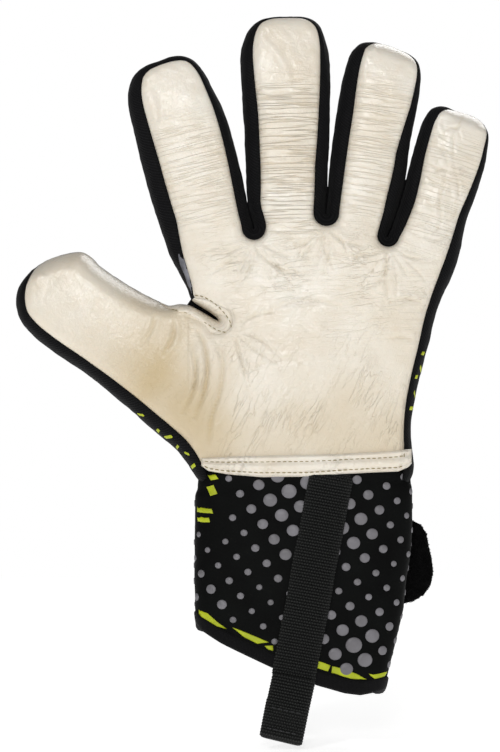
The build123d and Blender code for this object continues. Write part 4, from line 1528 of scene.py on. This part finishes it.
def dashes(path, normal, length, gap, width, height):
    """Short rounded stitches along a path of (x, z, depth) points, as mesh points and faces."""
    path = np.asarray(path, float)
    place = np.concatenate([[0], np.cumsum(np.linalg.norm(np.diff(path, axis=0), axis=1))])
    points, faces = [], []
    start = gap / 2
    rings = [(-0.5, 0.0), (-0.42, 0.75), (-0.2, 1.0), (0.2, 1.0), (0.42, 0.75), (0.5, 0.0)]
    sides = 6
    k = 0
    while start + length < place[-1]:
        middle = start + length / 2
        at = np.array([np.interp(middle, place, path[:, c]) for c in range(3)])
        ahead = np.array([np.interp(middle + 0.6, place, path[:, c]) for c in range(3)])
        behind = np.array([np.interp(middle - 0.6, place, path[:, c]) for c in range(3)])
        tangent = (ahead - behind) / max(np.linalg.norm(ahead - behind), 1e-9)
        up = normal(at)
        up = up - tangent * (up @ tangent)
        up /= np.linalg.norm(up)
        side = np.cross(tangent, up)
        jitter = 0.07 * math.sin(k * 12.9898) * side
        first = len(points)
        for offset, size in rings[1:-1]:
            for j in range(sides):
                a = 2 * math.pi * j / sides
                points.append(at + jitter + tangent * offset * length + side * math.cos(a) * width / 2 * size
                              + up * math.sin(a) * height / 2 * size)
        ends = len(points)
        points.append(at + jitter - tangent * length / 2 - up * height * 0.3)
        points.append(at + jitter + tangent * length / 2 - up * height * 0.3)
        for r in range(3):
            for j in range(sides):
                a, b = first + r * sides + j, first + r * sides + (j + 1) % sides
                faces.append((a, b, b + sides, a + sides))
        for j in range(sides):
            a, b = first + j, first + (j + 1) % sides
            faces.append((ends, b, a))
            faces.append((ends + 1, a + 3 * sides, b + 3 * sides))
        start += length + gap
        k += 1
    return np.array(points), faces


def towards_palm(at):
    return np.array((0, 0, 1.0))


def towards_back(at):
    return np.array((0, 0, -1.0))


def stitch_piece(name, runs, normal, material, body, length=2.6, gap=0.9, width=0.62, height=0.5):
    points, faces = [], []
    base = 0
    for run in runs:
        own, own_faces = dashes(run, normal, length, gap, width, height)
        if not len(own):
            continue
        points.append(own)
        faces += [tuple(i + base for i in f) for f in own_faces]
        base += len(own)
    points = np.vstack(points)
    rest = world(points)
    quads = [f for f in faces]
    piece = build(name, rest, quads, material, None, {"flat": points})
    settle(piece, body)
    return piece


# ---------------------------------------------------------------- band across the wrist

BAND_UPPER = [(-44.6, 91.6), (-30.0, 92.4), (-10.0, 92.9), (12.0, 93.4), (30.0, 94.2), (46.0, 95.4)]
BAND_LOWER = [(-44.6, 88.2), (-41.5, 86.0), (-33.0, 84.6), (-18.0, 83.4), (0.0, 83.6), (15.0, 84.6),
              (28.0, 85.4), (40.0, 85.8), (44.5, 87.6), (46.0, 89.2)]


def palm_q(x, z):
    """Depth of the palm and cuff under the band."""
    points = np.column_stack([np.asarray(x, float).ravel(), np.asarray(z, float).ravel()])
    hand = 8.7 + 0.44 * crown(points)
    side = np.clip((46.6 - np.abs(points[:, 0])) / 7.0, 0, 1)
    hand = 9.2 + (hand - 9.2) * np.sqrt(np.clip(1 - (1 - side) ** 2, 0, 1))
    return hand.reshape(np.shape(x))


def make_band():
    columns, rows = 150, 15
    x = np.linspace(-44.6, 46.0, columns)
    part = np.linspace(0, 1, rows)
    top, bottom = along(BAND_UPPER, x), along(BAND_LOWER, x)
    z = top[:, None] + (bottom - top)[:, None] * part[None]
    xx = np.repeat(x[:, None], rows, 1)
    flat_part = np.minimum(part, 1 - part)[None] * (top - bottom)[:, None]
    end = np.minimum(xx - x[0], x[-1] - xx)
    round_off = np.sqrt(np.clip(1 - (1 - np.clip(np.minimum(flat_part, end) / 1.0, 0, 1)) ** 2, 0, 1))
    ripple = 0.22 * noise(np.column_stack([xx.ravel(), z.ravel() * 0.6]), 5, 101).reshape(xx.shape)
    row_groove = (0.5 * np.exp(-((part - 0.30)[None] * (top - bottom)[:, None] / 0.7) ** 2)
                  + 0.6 * np.exp(-((part - 0.8)[None] * (top - bottom)[:, None] / 0.7) ** 2))
    piping = np.exp(-((part - 0.55) / 0.16) ** 2)[None]
    gather = np.abs(noise(np.column_stack([xx.ravel(), z.ravel() * 0.25]), 1.1, 102))
    gather = np.minimum(gather, 0.5).reshape(xx.shape)
    q = palm_q(xx, z) + 0.1 + (1.5 + ripple + piping * (0.35 + 0.5 * gather)) * round_off - row_groove
    top_points = np.stack([xx, z, q], -1).reshape(-1, 3)
    under = np.stack([xx, z, palm_q(xx, z) - 1.6], -1).reshape(-1, 3)
    faces = grid_faces(columns, rows)
    normals = vertex_normals(world(top_points), faces)
    if normals[len(normals) // 2][1] > 0:
        faces = [f[::-1] for f in faces]
        normals = -normals
    points, shell = slab(world(top_points), world(under), faces, True)
    # Wrinkle, gloss and a little painted shade for the band's latex.
    wear = np.column_stack([np.full(len(top_points), v) for v in (0.1, 0.75, 0.08)])
    local = top_points.copy()
    data = {"flat": np.vstack([top_points] * 2), "local": np.vstack([local] * 2), "wear": np.vstack([wear] * 2)}
    band = build("palm_hem_band_strip", points, shell, LIP, np.vstack([normals, -normals]), data)
    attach(band, "hand")
    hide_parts("palm_hem_band")

    def on_band(x, share):
        top, bottom = along(BAND_UPPER, x), along(BAND_LOWER, x)
        z = top + (bottom - top) * share
        return np.column_stack([x, z, palm_q(x, z) + 1.35])

    x = np.linspace(-43.4, 43.2, 200)
    runs = [on_band(x, 0.30), on_band(x, 0.80)]
    z = np.linspace(94.0, 88.6, 12)
    xs = np.full(12, 42.6)
    runs.append(np.column_stack([xs, z, palm_q(xs, z) + 1.5]))
    stitch_piece("band_stitches", runs, towards_palm, THREAD, "hand", 1.7, 0.7, 0.42, 0.4)


make_band()

# ---------------------------------------------------------------- webbing and pull tab

def strip_section(width, thick):
    """Half-section of a woven strap as (across, height) from one edge to the other, with rounded edges."""
    t = np.linspace(-1, 1, 19)
    edge = np.sqrt(np.clip(1 - np.abs(t) ** 9, 0, 1))
    return t * width / 2, thick / 2 * edge


def woven_strip(name, line, across, up, width, thick, material, body, pitch=1.28, ends=True):
    """A woven strap along a line, ribbed and with scalloped edges; across and up are per point."""
    line, across, up = (np.asarray(v, float) for v in (line, across, up))
    place = np.concatenate([[0], np.cumsum(np.linalg.norm(np.diff(line, axis=0), axis=1))])
    count = int(place[-1] / (pitch / 6)) + 1
    s = np.linspace(0, place[-1], count)
    at = np.stack([np.interp(s, place, line[:, c]) for c in range(3)], 1)
    side = np.stack([np.interp(s, place, across[:, c]) for c in range(3)], 1)
    lift = np.stack([np.interp(s, place, up[:, c]) for c in range(3)], 1)
    side /= np.linalg.norm(side, axis=1, keepdims=True)
    lift /= np.linalg.norm(lift, axis=1, keepdims=True)
    t, height = strip_section(width, thick)
    rib = np.abs(np.sin(math.pi * s / pitch))
    scallop = 0.22 * rib
    sway = 0.18 * noise(np.column_stack([s, 0 * s]), 14, 111)
    m = len(t)
    top, bottom = [], []
    for k in range(m):
        bulge = 0.34 * rib * (1 if 0 < k < m - 1 else 0)
        own = t[k] * (1 + 2 * scallop / width) + sway
        selvedge = 0.16 * math.exp(-((abs(t[k]) - width / 2 + 1.3) / 0.5) ** 2)
        top.append(at + side * own[:, None] + lift * (height[k] + bulge - selvedge)[:, None])
        bottom.append(at + side * own[:, None] - lift * (height[k] + 0.4 * bulge)[:, None])
    ring = np.stack(top + bottom[::-1][1:-1], 1)
    n, m2 = ring.shape[:2]
    faces = grid_faces(n, m2, closed=True)
    faces += [tuple(range(m2))[::-1], tuple(i + (n - 1) * m2 for i in range(m2))]
    points = world(ring.reshape(-1, 3))
    flat = np.zeros((n, m2, 3))
    flat[..., 0] = np.concatenate([t, t[::-1][1:-1]])[None]
    flat[..., 1] = s[:, None]
    volume = 0.0
    for f in faces[:400]:
        a, b, c = points[f[0]], points[f[1]], points[f[2]]
        volume += float(np.dot(np.cross(b - a, c - a), (a + b + c) / 3 - points.mean(0)))
    if volume < 0:
        faces = [f[::-1] for f in faces]
    piece = build(name, points, faces, material, None, {"flat": flat.reshape(-1, 3)})
    piece.data.set_sharp_from_angle(angle=math.radians(70))
    settle(piece, body)
    return piece


def make_webbing():
    # Down the middle of the cuff, from under the band to the hem
    z = np.linspace(86.0, -2.2, 40)
    x = 11.2 - (84.0 - z) * 0.1871
    s = cuff.front_s(x, z)
    surface = cuff.at(s, z, 0.0)
    height = np.maximum(surface[:, 2] + 0.9, 15.5) + 0.25 * np.sin(z / 13.0)
    height -= 2.4 * ease(z, 81.5, 86.0)
    line = np.column_stack([x, z, height])
    line[-6:, 2] += np.linspace(0, 0.35, 6)
    across = np.tile((0.983, -0.1839, 0), (len(line), 1))
    up = np.tile((0, 0, 1.0), (len(line), 1))
    piece = woven_strip("pull_webbing_strip", line, across, up, 18.6, 1.5, WEBBING, "hand")
    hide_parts("pull_webbing")

    # The free end, doubled back and sewn
    start = np.array((-4.9, -2.0, 16.9))
    down = np.array((-0.205, -0.9788, 0))
    side_tab = np.array((0.9788, -0.205, 0))
    reach = np.array([0.0, 4, 8, 12, 16, 20, 24, 26.6, 27.6, 27.4, 26.2, 23, 20, 17, 14.5, 12.0])
    lift = np.array([0.0, 0.5, 0.6, 0.5, 0.3, 0.1, -0.1, -0.35, -1.3, -2.3, -2.6, -2.35,
                     -2.0, -1.75, -1.6, -1.5])
    curve, _ = catmull_rom(np.column_stack([reach, lift]), 10)
    line = start + down * curve[:, :1] + np.array((0, 0, 1.0)) * curve[:, 1:2]
    gradient = np.gradient(curve, axis=0)
    gradient /= np.linalg.norm(gradient, axis=1, keepdims=True)
    up = -down * gradient[:, 1:2] + np.array((0, 0, 1.0)) * gradient[:, :1]
    across = np.tile(side_tab, (len(line), 1)) + np.outer(np.linspace(0, 0.05, len(line)), down)
    piece = woven_strip("pull_tab_strip", line, across, up, 18.4, 1.5, WEBBING, "tab")
    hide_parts("pull_tab")
    # Two rows of stitches through the doubled end
    runs = []
    for reach in (14.5, 23.5):
        t = np.linspace(-7.2, 7.2, 14)
        runs.append(start + np.outer(np.full(14, reach), down) + np.outer(t, side_tab) + np.array((0, 0, 1.35)))
    stitch_piece("pull_tab_stitches", runs, towards_palm, BLACK_THREAD, "tab", 2.0, 0.7, 0.5, 0.4)


make_webbing()

# ---------------------------------------------------------------- wrist strap

def rounded_outline(low, high, radii, count=9):
    """Corners of a rounded rectangle in (x, z), radii in order from lower left, going anticlockwise."""
    (x0, z0), (x1, z1) = low, high
    corners = ((x0, z0, 180, 1, 1), (x1, z0, 270, -1, 1), (x1, z1, 0, -1, -1), (x0, z1, 90, 1, -1))
    points = []
    for (x, z, angle, sx, sz), r in zip(corners, radii):
        for k in range(count):
            a = math.radians(angle + 90 * k / (count - 1))
            points.append((x + sx * r + r * math.cos(a), z + sz * r + r * math.sin(a)))
    return np.array(points)


def dense(loop, step):
    out = []
    for a, b in zip(loop, np.roll(loop, -1, 0)):
        count = max(1, int(np.hypot(*(b - a)) / step))
        out += [a + (b - a) * k / count for k in range(count)]
    return np.array(out)


def flat_pad(name, loop, front, back, step, edge, material, body, relief=None, uneven=0.0):
    """A soft flat pad across the depth: front and back are its faces' depths, front towards the palm."""
    loop = dense(loop, step * 0.8)
    flat, faces, measure = triangulated(loop, (edge * 0.18, edge * 0.5), step)
    gap, _ = measure(flat)
    share = dome(gap, edge)
    middle, half = (front + back) / 2, (front - back) / 2
    sag = uneven * noise(flat, 16, 121)
    f = middle + half * (0.25 + 0.75 * share) + sag
    b = middle - half * (0.25 + 0.75 * share) + sag
    if relief is not None:
        lift_f, lift_b = relief(flat, gap)
        f, b = f + lift_f, b - lift_b
    top, bottom = np.column_stack([flat, f]), np.column_stack([flat, b])
    points, shell = slab(world(top), world(bottom), faces, True)
    flats = np.vstack([np.column_stack([flat, 0 * gap])] * 2)
    piece = build(name, points, shell, material, None, {"flat": flats})
    settle(piece, body)
    return piece


def tufts(name, places, out_directions, length, material, body):
    """Short curled loops of nap standing out of a surface, in one closed mesh."""
    points, faces = [], []
    draw = np.random.default_rng(131)
    for at, out in zip(places, out_directions):
        side = draw.normal(size=3)
        side -= out * (side @ out)
        side /= np.linalg.norm(side) + 1e-9
        third = np.cross(out, side)
        reach = length * draw.uniform(0.5, 1.1)
        radius = 0.11
        first = len(points)
        spine = []
        for t in np.linspace(0, 1, 5):
            a = math.pi * 1.15 * t
            spine.append(at + out * math.sin(a) * reach * 0.8 + side * (1 - math.cos(a)) * reach * 0.35)
        for p in spine:
            for j in range(3):
                a = 2 * math.pi * j / 3
                points.append(p + radius * (third * math.cos(a) + (side + out) * 0.7 * math.sin(a)))
        for r in range(4):
            for j in range(3):
                a, b = first + r * 3 + j, first + r * 3 + (j + 1) % 3
                faces.append((a, b, b + 3, a + 3))
        faces.append((first + 2, first + 1, first))
        faces.append((first + 12, first + 13, first + 14))
    points = np.array(points)
    piece = build(name, world(points), faces, material, None, {"flat": points})
    settle(piece, body)
    return piece


def make_strap():
    tip_shape = np.array([
        (-24.3, 62.0), (-24.3, 24.2), (0.0, 24.0), (30.0, 24.8), (42.9, 26.0), (48.2, 27.3), (53.2, 30.3),
        (56.2, 34.6), (57.2, 40.3), (56.6, 46.3), (55.3, 51.5), (54.3, 57.2), (51.8, 61.2), (46.7, 63.6),
        (38.0, 62.6), (10.0, 62.0),
    ])

    def body_relief(flat, gap):
        groove = -0.35 * np.exp(-((gap - 2.6) / 0.5) ** 2)
        ribbed = (gap > 5) & (flat[:, 0] > -16) & (flat[:, 0] < 46)
        return 0 * gap, groove + 0.28 * np.abs(np.sin(flat[:, 0] * math.pi / 5.2)) ** 0.6 * ribbed

    strap = flat_pad("wrist_strap_face", tip_shape, -17.7, -20.3, 1.2, 1.3, STRAP, "strap",
                     body_relief, 0.25)
    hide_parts("strap_body")

    pile_shape = tip_shape + 0.0
    pile_shape = np.array([p for p in tip_shape if p[0] > 20] + [(3.0, 61.5), (3.0, 24.5)])
    centre = pile_shape.mean(0)
    order = np.argsort(np.arctan2(pile_shape[:, 1] - centre[1], pile_shape[:, 0] - centre[0]))
    pile_shape = pile_shape[order]

    def nap(flat, gap):
        return 0.35 * noise(flat, 1.7, 141) + 0.25 * noise(flat, 0.8, 142), 0 * gap

    pile = flat_pad("wrist_strap_pile", pile_shape, -16.2, -18.2, 0.9, 0.9, PILE, "strap", nap)
    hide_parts("strap_loop_pile")

    draw = np.random.default_rng(151)
    edge = dense(pile_shape, 0.5)
    edge = edge[edge[:, 0] > 36]
    places, outs = [], []
    middle = np.array((30.0, 44.0))
    for _ in range(3):
        for p in edge:
            away = (p - middle) / np.linalg.norm(p - middle)
            depth = draw.uniform(-18.6, -16.2)
            places.append(np.array((p[0] - away[0] * 0.5, p[1] - away[1] * 0.5, depth)))
            tilt = draw.normal(scale=0.5, size=3)
            out = np.array((away[0], away[1], 0.35)) + tilt
            outs.append(out / np.linalg.norm(out))
    inner = pile_shape.min(0) + draw.random((3200, 2)) * (pile_shape.max(0) - pile_shape.min(0))
    inner = inner[inside(inner, pile_shape)]
    for p in inner:
        places.append(np.array((p[0], p[1], -16.35)))
        out = np.array((0, 0, 1.0)) + draw.normal(scale=0.45, size=3)
        outs.append(out / np.linalg.norm(out))
    tufts("wrist_strap_nap", places, outs, 0.95, PILE, "strap")

    # Sewn root of the strap on the cuff
    low, high = (np.array(v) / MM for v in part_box("strap_anchor"))
    shape = rounded_outline((low[0], low[2]), (high[0], high[2]), (2.0, 0.6, 0.6, 2.0))
    anchor = flat_pad("strap_root_patch", shape, -14.6, -20.2, 1.2, 1.6, STRAP, "hand")
    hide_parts("strap_anchor")
    runs = []
    for x in (-33.0, -27.6):
        z = np.linspace(low[2] + 2.5, high[2] - 2.5, 24)
        runs.append(np.column_stack([np.full(24, x), z, np.full(24, -20.3)]))
    stitch_piece("strap_root_stitches", runs, towards_back, BLACK_THREAD, "hand", 2.2, 0.9, 0.5, 0.5)

    runs = []
    loop = dense(tip_shape, 1.0)
    away = loop - np.array((18.0, 43.5))
    pulled = loop - np.sign(away) * np.minimum(np.abs(away), 2.6)
    pulled = pulled[(pulled[:, 0] > -21)]
    start = int(np.argmax(np.linalg.norm(np.diff(pulled, axis=0), axis=1)))
    pulled = np.roll(pulled, -start - 1, 0)
    runs.append(np.column_stack([pulled, np.full(len(pulled), -20.35)]))
    stitch_piece("wrist_strap_stitches", runs, towards_back, BLACK_THREAD, "strap", 2.2, 0.9, 0.5, 0.4)

    # Hook patch: rows of tiny bent hooks on a woven tape
    low, high = (np.array(v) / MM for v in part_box("cuff_hook_panel"))
    shape = rounded_outline((low[0], low[2]), (high[0], high[2]), (1.2, 1.2, 1.2, 1.2))
    panel = flat_pad("hook_patch_tape", shape, -14.2, -(high[1] - 0.7), 1.3, 0.6, HOOK, "hand")
    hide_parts("cuff_hook_panel")
    places, outs = [], []
    for x in np.arange(low[0] + 0.9, high[0] - 0.6, 1.15):
        for z in np.arange(low[2] + 0.9, high[2] - 0.6, 1.15):
            places.append(np.array((x, z, -(high[1] - 0.8))))
            outs.append(np.array((0, 0, -1.0)))
    tufts("hook_patch_hooks", places, outs, 0.8, HOOK, "hand")


make_strap()

# ---------------------------------------------------------------- generic print and stitching on hand and back

def roll_at(i, k, out=0.0):
    """A point on the side roll's outside at fractional sample i and profile place k, pushed out."""
    i, k = np.broadcast_arrays(np.asarray(i, float), np.asarray(k, float))
    i = np.clip(i, 0, len(roll) - 1.001)
    k = np.clip(k, 0, roll_outer - 1.001)
    a, b = i.astype(int), k.astype(int)
    fa, fb = (i - a)[..., None], (k - b)[..., None]
    p = (roll[a, b] * (1 - fa) * (1 - fb) + roll[a + 1, b] * fa * (1 - fb)
         + roll[a, b + 1] * (1 - fa) * fb + roll[a + 1, b + 1] * fa * fb)
    along_i = roll[a + 1, b] - roll[a, b]
    along_k = roll[a, b + 1] - roll[a, b]
    normal = np.cross(along_i, along_k)
    normal /= np.maximum(np.linalg.norm(normal, axis=-1, keepdims=True), 1e-9)
    sign = np.sign(normal[..., 0] * -outline.normal[a, 0] + normal[..., 1] * -outline.normal[a, 1])
    return p + normal * (sign * out)[..., None]


def nearest_sample(x, z, label=None):
    gap = np.hypot(outline.point[:, 0] - x, outline.point[:, 1] - z)
    if label:
        gap = gap + np.where(outline.label == label, 0, 50)
    return int(gap.argmin())


def make_side_flecks():
    """Scattered lime dashes on the side rolls near the thumb's root and the palm's outer side."""
    groups = {
        "thumb_side": [
            (-49.6, 88.0, 3.2, 5.6), (-52.6, 91.6, 3.0, 4.0), (-56.4, 95.4, 4.2, 5.8), (-60.2, 98.6, 3.0, 5.2),
                       (-65.0, 102.4, 4.0, 5.4), (-71.5, 108.6, 3.8, 5.0)],
        "little_side": [
            (47.2, 112.0, 3.4, 5.6), (48.6, 119.5, 4.4, 6.2), (49.8, 125.0, 3.0, 4.4), (50.4, 130.5, 4.6, 6.4),
                        (51.8, 136.0, 3.0, 4.8)],
    }
    shapes = {}
    for name, marks in groups.items():
        loops = []
        for n, (x, z, k0, k1) in enumerate(marks):
            i = nearest_sample(x, z, "thumb" if name == "thumb_side" else "palm")
            lean = 1.6 if n % 2 else -1.4
            loops.append(np.array([(i - 1.6, k0), (i + 0.2, k0 - 0.2),
                                   (i + 1.4 + lean, k1), (i - 0.6 + lean, k1 + 0.2)]))
        shapes[name] = loops
    for name, loops in shapes.items():
        fine = []
        for loop in loops:
            loop = np.array(loop)
            area = 0.5 * np.sum(loop[:, 0] * np.roll(loop[:, 1], -1) - np.roll(loop[:, 0], -1) * loop[:, 1])
            fine.append(dense(loop if area > 0 else loop[::-1], 0.5))
        stamped = stamp(fine, lambda i, k, out: roll_at(i, k, out), 0.6, 0.14, 0.5)
        points, faces, flat = stamped
        a, b, c = (points[v] for v in faces[0])
        middle_i = int(loops[0][0, 0])
        want = np.array((-outline.normal[middle_i, 0], -0.6, -outline.normal[middle_i, 1]))
        flip = np.cross(b - a, c - a) @ want < 0
        finish_stamp(f"{name}_lime_flecks", stamped, LIME, "hand", flip)


make_side_flecks()
make_worn_patch()


def make_notch_stitches():
    """Tan stitches round the thumb's slit, on the latex beside its lips."""
    lower = [(-57.6, 155.6), (-53.6, 154.9), (-49.6, 153.6), (-45.5, 151.5), (-41.3, 148.7),
             (-37.2, 146.3), (-33.6, 145.4)]
    upper = [(-31.6, 147.4), (-32.4, 150.4), (-34.9, 154.0), (-38.0, 157.2), (-42.0, 160.0),
             (-45.4, 161.4), (-48.0, 161.6)]
    edge = Distance(outline.latex)
    for name, run, body in (("slit_lower_stitches", lower, "thumb_base"), ("slit_upper_stitches", upper, "hand")):
        curve, _ = catmull_rom(run, 14)
        gap, nearest = edge(curve)
        depth = latex_depth(curve, gap, nearest, outline.seam) + 0.2
        path = np.column_stack([curve, depth])
        stitch_piece(name, [path], towards_palm, THREAD, body, 1.6, 0.8, 0.4, 0.36)


make_notch_stitches()


def make_back_print():
    """The back's own plain decoration: a field of dots, lime dashes and twin rows of stitching."""
    loops = []
    for i in range(-24, 25):
        for j in range(-16, 17):
            x = 5.1 * i - 3.0 * j
            z = 137.0 - 6.3 * i - 10.0 * j
            if not (98 < z < 172 and abs(x - 3) < 29 - 0.1 * abs(z - 140)):
                continue
            fade = math.exp(-((x - 4) ** 2 + (z - 138) ** 2) / (2 * 22 ** 2))
            loops.append(disc(x, z, 0.9 + 1.9 * fade))
    place = lambda x, z, out: back_at(np.column_stack([x, z]), out)
    finish_stamp("back_dot_print", stamp(loops, place, 1.8, 0.3, 0.6), DOTS, "hand", True)
    strokes = []
    for side, (x, z), lean in ((1, (-33.5, 102.0), 0.12), (1, (34.5, 102.0), 0.1)):
        for k in range(5):
            z0 = z + 13.0 * k
            x0 = x + lean * 10 * k * (1 if x < 0 else 0.4)
            strokes.append(np.array([(x0 - 2.2, z0), (x0 + 1.4, z0 + 1.6),
                                     (x0 + 2.6, z0 + 7.6), (x0 - 1.0, z0 + 6.0)]))
    fine = [dense(s, 0.9) for s in strokes]
    finish_stamp("back_lime_print", stamp(fine, place, 1.3, 0.22, 0.6), LIME, "hand", True)
    runs = []
    for run, depth, width in BACK_GROOVES:
        for shift in (-1.9, 1.9):
            curve, _ = catmull_rom(run, 20)
            turn = np.gradient(curve, axis=0)
            turn /= np.linalg.norm(turn, axis=1, keepdims=True)
            beside = curve + np.column_stack([-turn[:, 1], turn[:, 0]]) * shift
            runs.append(back_at(beside, 0.05))
    stitch_piece("back_stitches", runs, towards_back, BLACK_THREAD, "hand", 2.3, 1.0, 0.5, 0.4)


make_back_print()


# ---------------------------------------------------------------- stage

FLOOR = -0.0335
AMBIENT = 0.25


def make_stage():
    look = Look("pale_floor", roughness=0.9, specular=0.1)
    coords = look.node("ShaderNodeTexCoord").outputs["Object"]
    shade = look.fit(look.noise(coords, 3.0, 2), 0.3, 0.7)
    look.set("Base Color", look.mix(shade, (0.93, 0.93, 0.925, 1), (0.95, 0.95, 0.945, 1)))
    look.set("Emission Color", (1, 1, 1, 1))
    look.set("Emission Strength", 0.6)
    n = 24
    r = np.linspace(-0.9, 0.9, n)
    gx, gy = np.meshgrid(r, r, indexing="ij")
    points = np.stack([gx.ravel(), gy.ravel(), np.full(n * n, FLOOR)], 1)
    floor = build("pale_floor", points, grid_faces(n, n, flip=True), look.material)


def light(name, place, target, size, power, colour=(1, 1, 1)):
    data = bpy.data.lights.new(name, "AREA")
    data.shape, data.size, data.energy, data.color = "DISK", size, power, colour
    lamp = bpy.data.objects.new(name, data)
    lamp.location = place
    lamp.rotation_euler = (Vector(target) - Vector(place)).to_track_quat("-Z", "Y").to_euler()
    bpy.context.scene.collection.objects.link(lamp)


def make_camera():
    data = bpy.data.cameras.new("camera")
    data.lens, data.sensor_width = 120, 36
    data.clip_start, data.clip_end = 0.01, 20
    camera = bpy.data.objects.new("camera", data)
    height, plane = 0.3234, -0.012  # what the view takes in, in metres, at the depth of the palm
    camera.location = (-0.02365, plane - height * data.lens / data.sensor_width, 0.12685)
    camera.rotation_euler = (math.pi / 2, 0, 0)
    bpy.context.scene.collection.objects.link(camera)
    bpy.context.scene.camera = camera


make_stage()
make_camera()
middle = (0.0, 0.0, 0.13)
light("key", (-0.42, -0.85, 0.70), middle, 0.16, 1.9)
light("front", (-0.07, -1.05, 0.36), (-0.01, 0, 0.15), 0.26, 2.7)
light("fill", (0.9, -0.7, 0.35), middle, 0.6, 0.9)
light("top", (0.1, -0.05, 1.2), middle, 0.5, 0.5)
light("behind", (0.4, 0.9, 0.9), middle, 0.7, 3.0)


def make_world():
    """Soft even light all round, and a white ground behind the object."""
    studio = bpy.data.worlds.new("studio")
    studio.use_nodes = True
    nodes, links = studio.node_tree.nodes, studio.node_tree.links
    soft = nodes["Background"]
    soft.inputs["Color"].default_value = (1, 1, 1, 1)
    soft.inputs["Strength"].default_value = AMBIENT
    seen = nodes.new("ShaderNodeBackground")
    seen.inputs["Color"].default_value = (1, 1, 1, 1)
    seen.inputs["Strength"].default_value = 1.0
    path = nodes.new("ShaderNodeLightPath")
    mix = nodes.new("ShaderNodeMixShader")
    links.new(path.outputs["Is Camera Ray"], mix.inputs[0])
    links.new(soft.outputs[0], mix.inputs[1])
    links.new(seen.outputs[0], mix.inputs[2])
    links.new(mix.outputs[0], nodes["World Output"].inputs["Surface"])
    bpy.context.scene.world = studio
    bpy.context.scene.view_settings.view_transform = "Standard"


make_world()
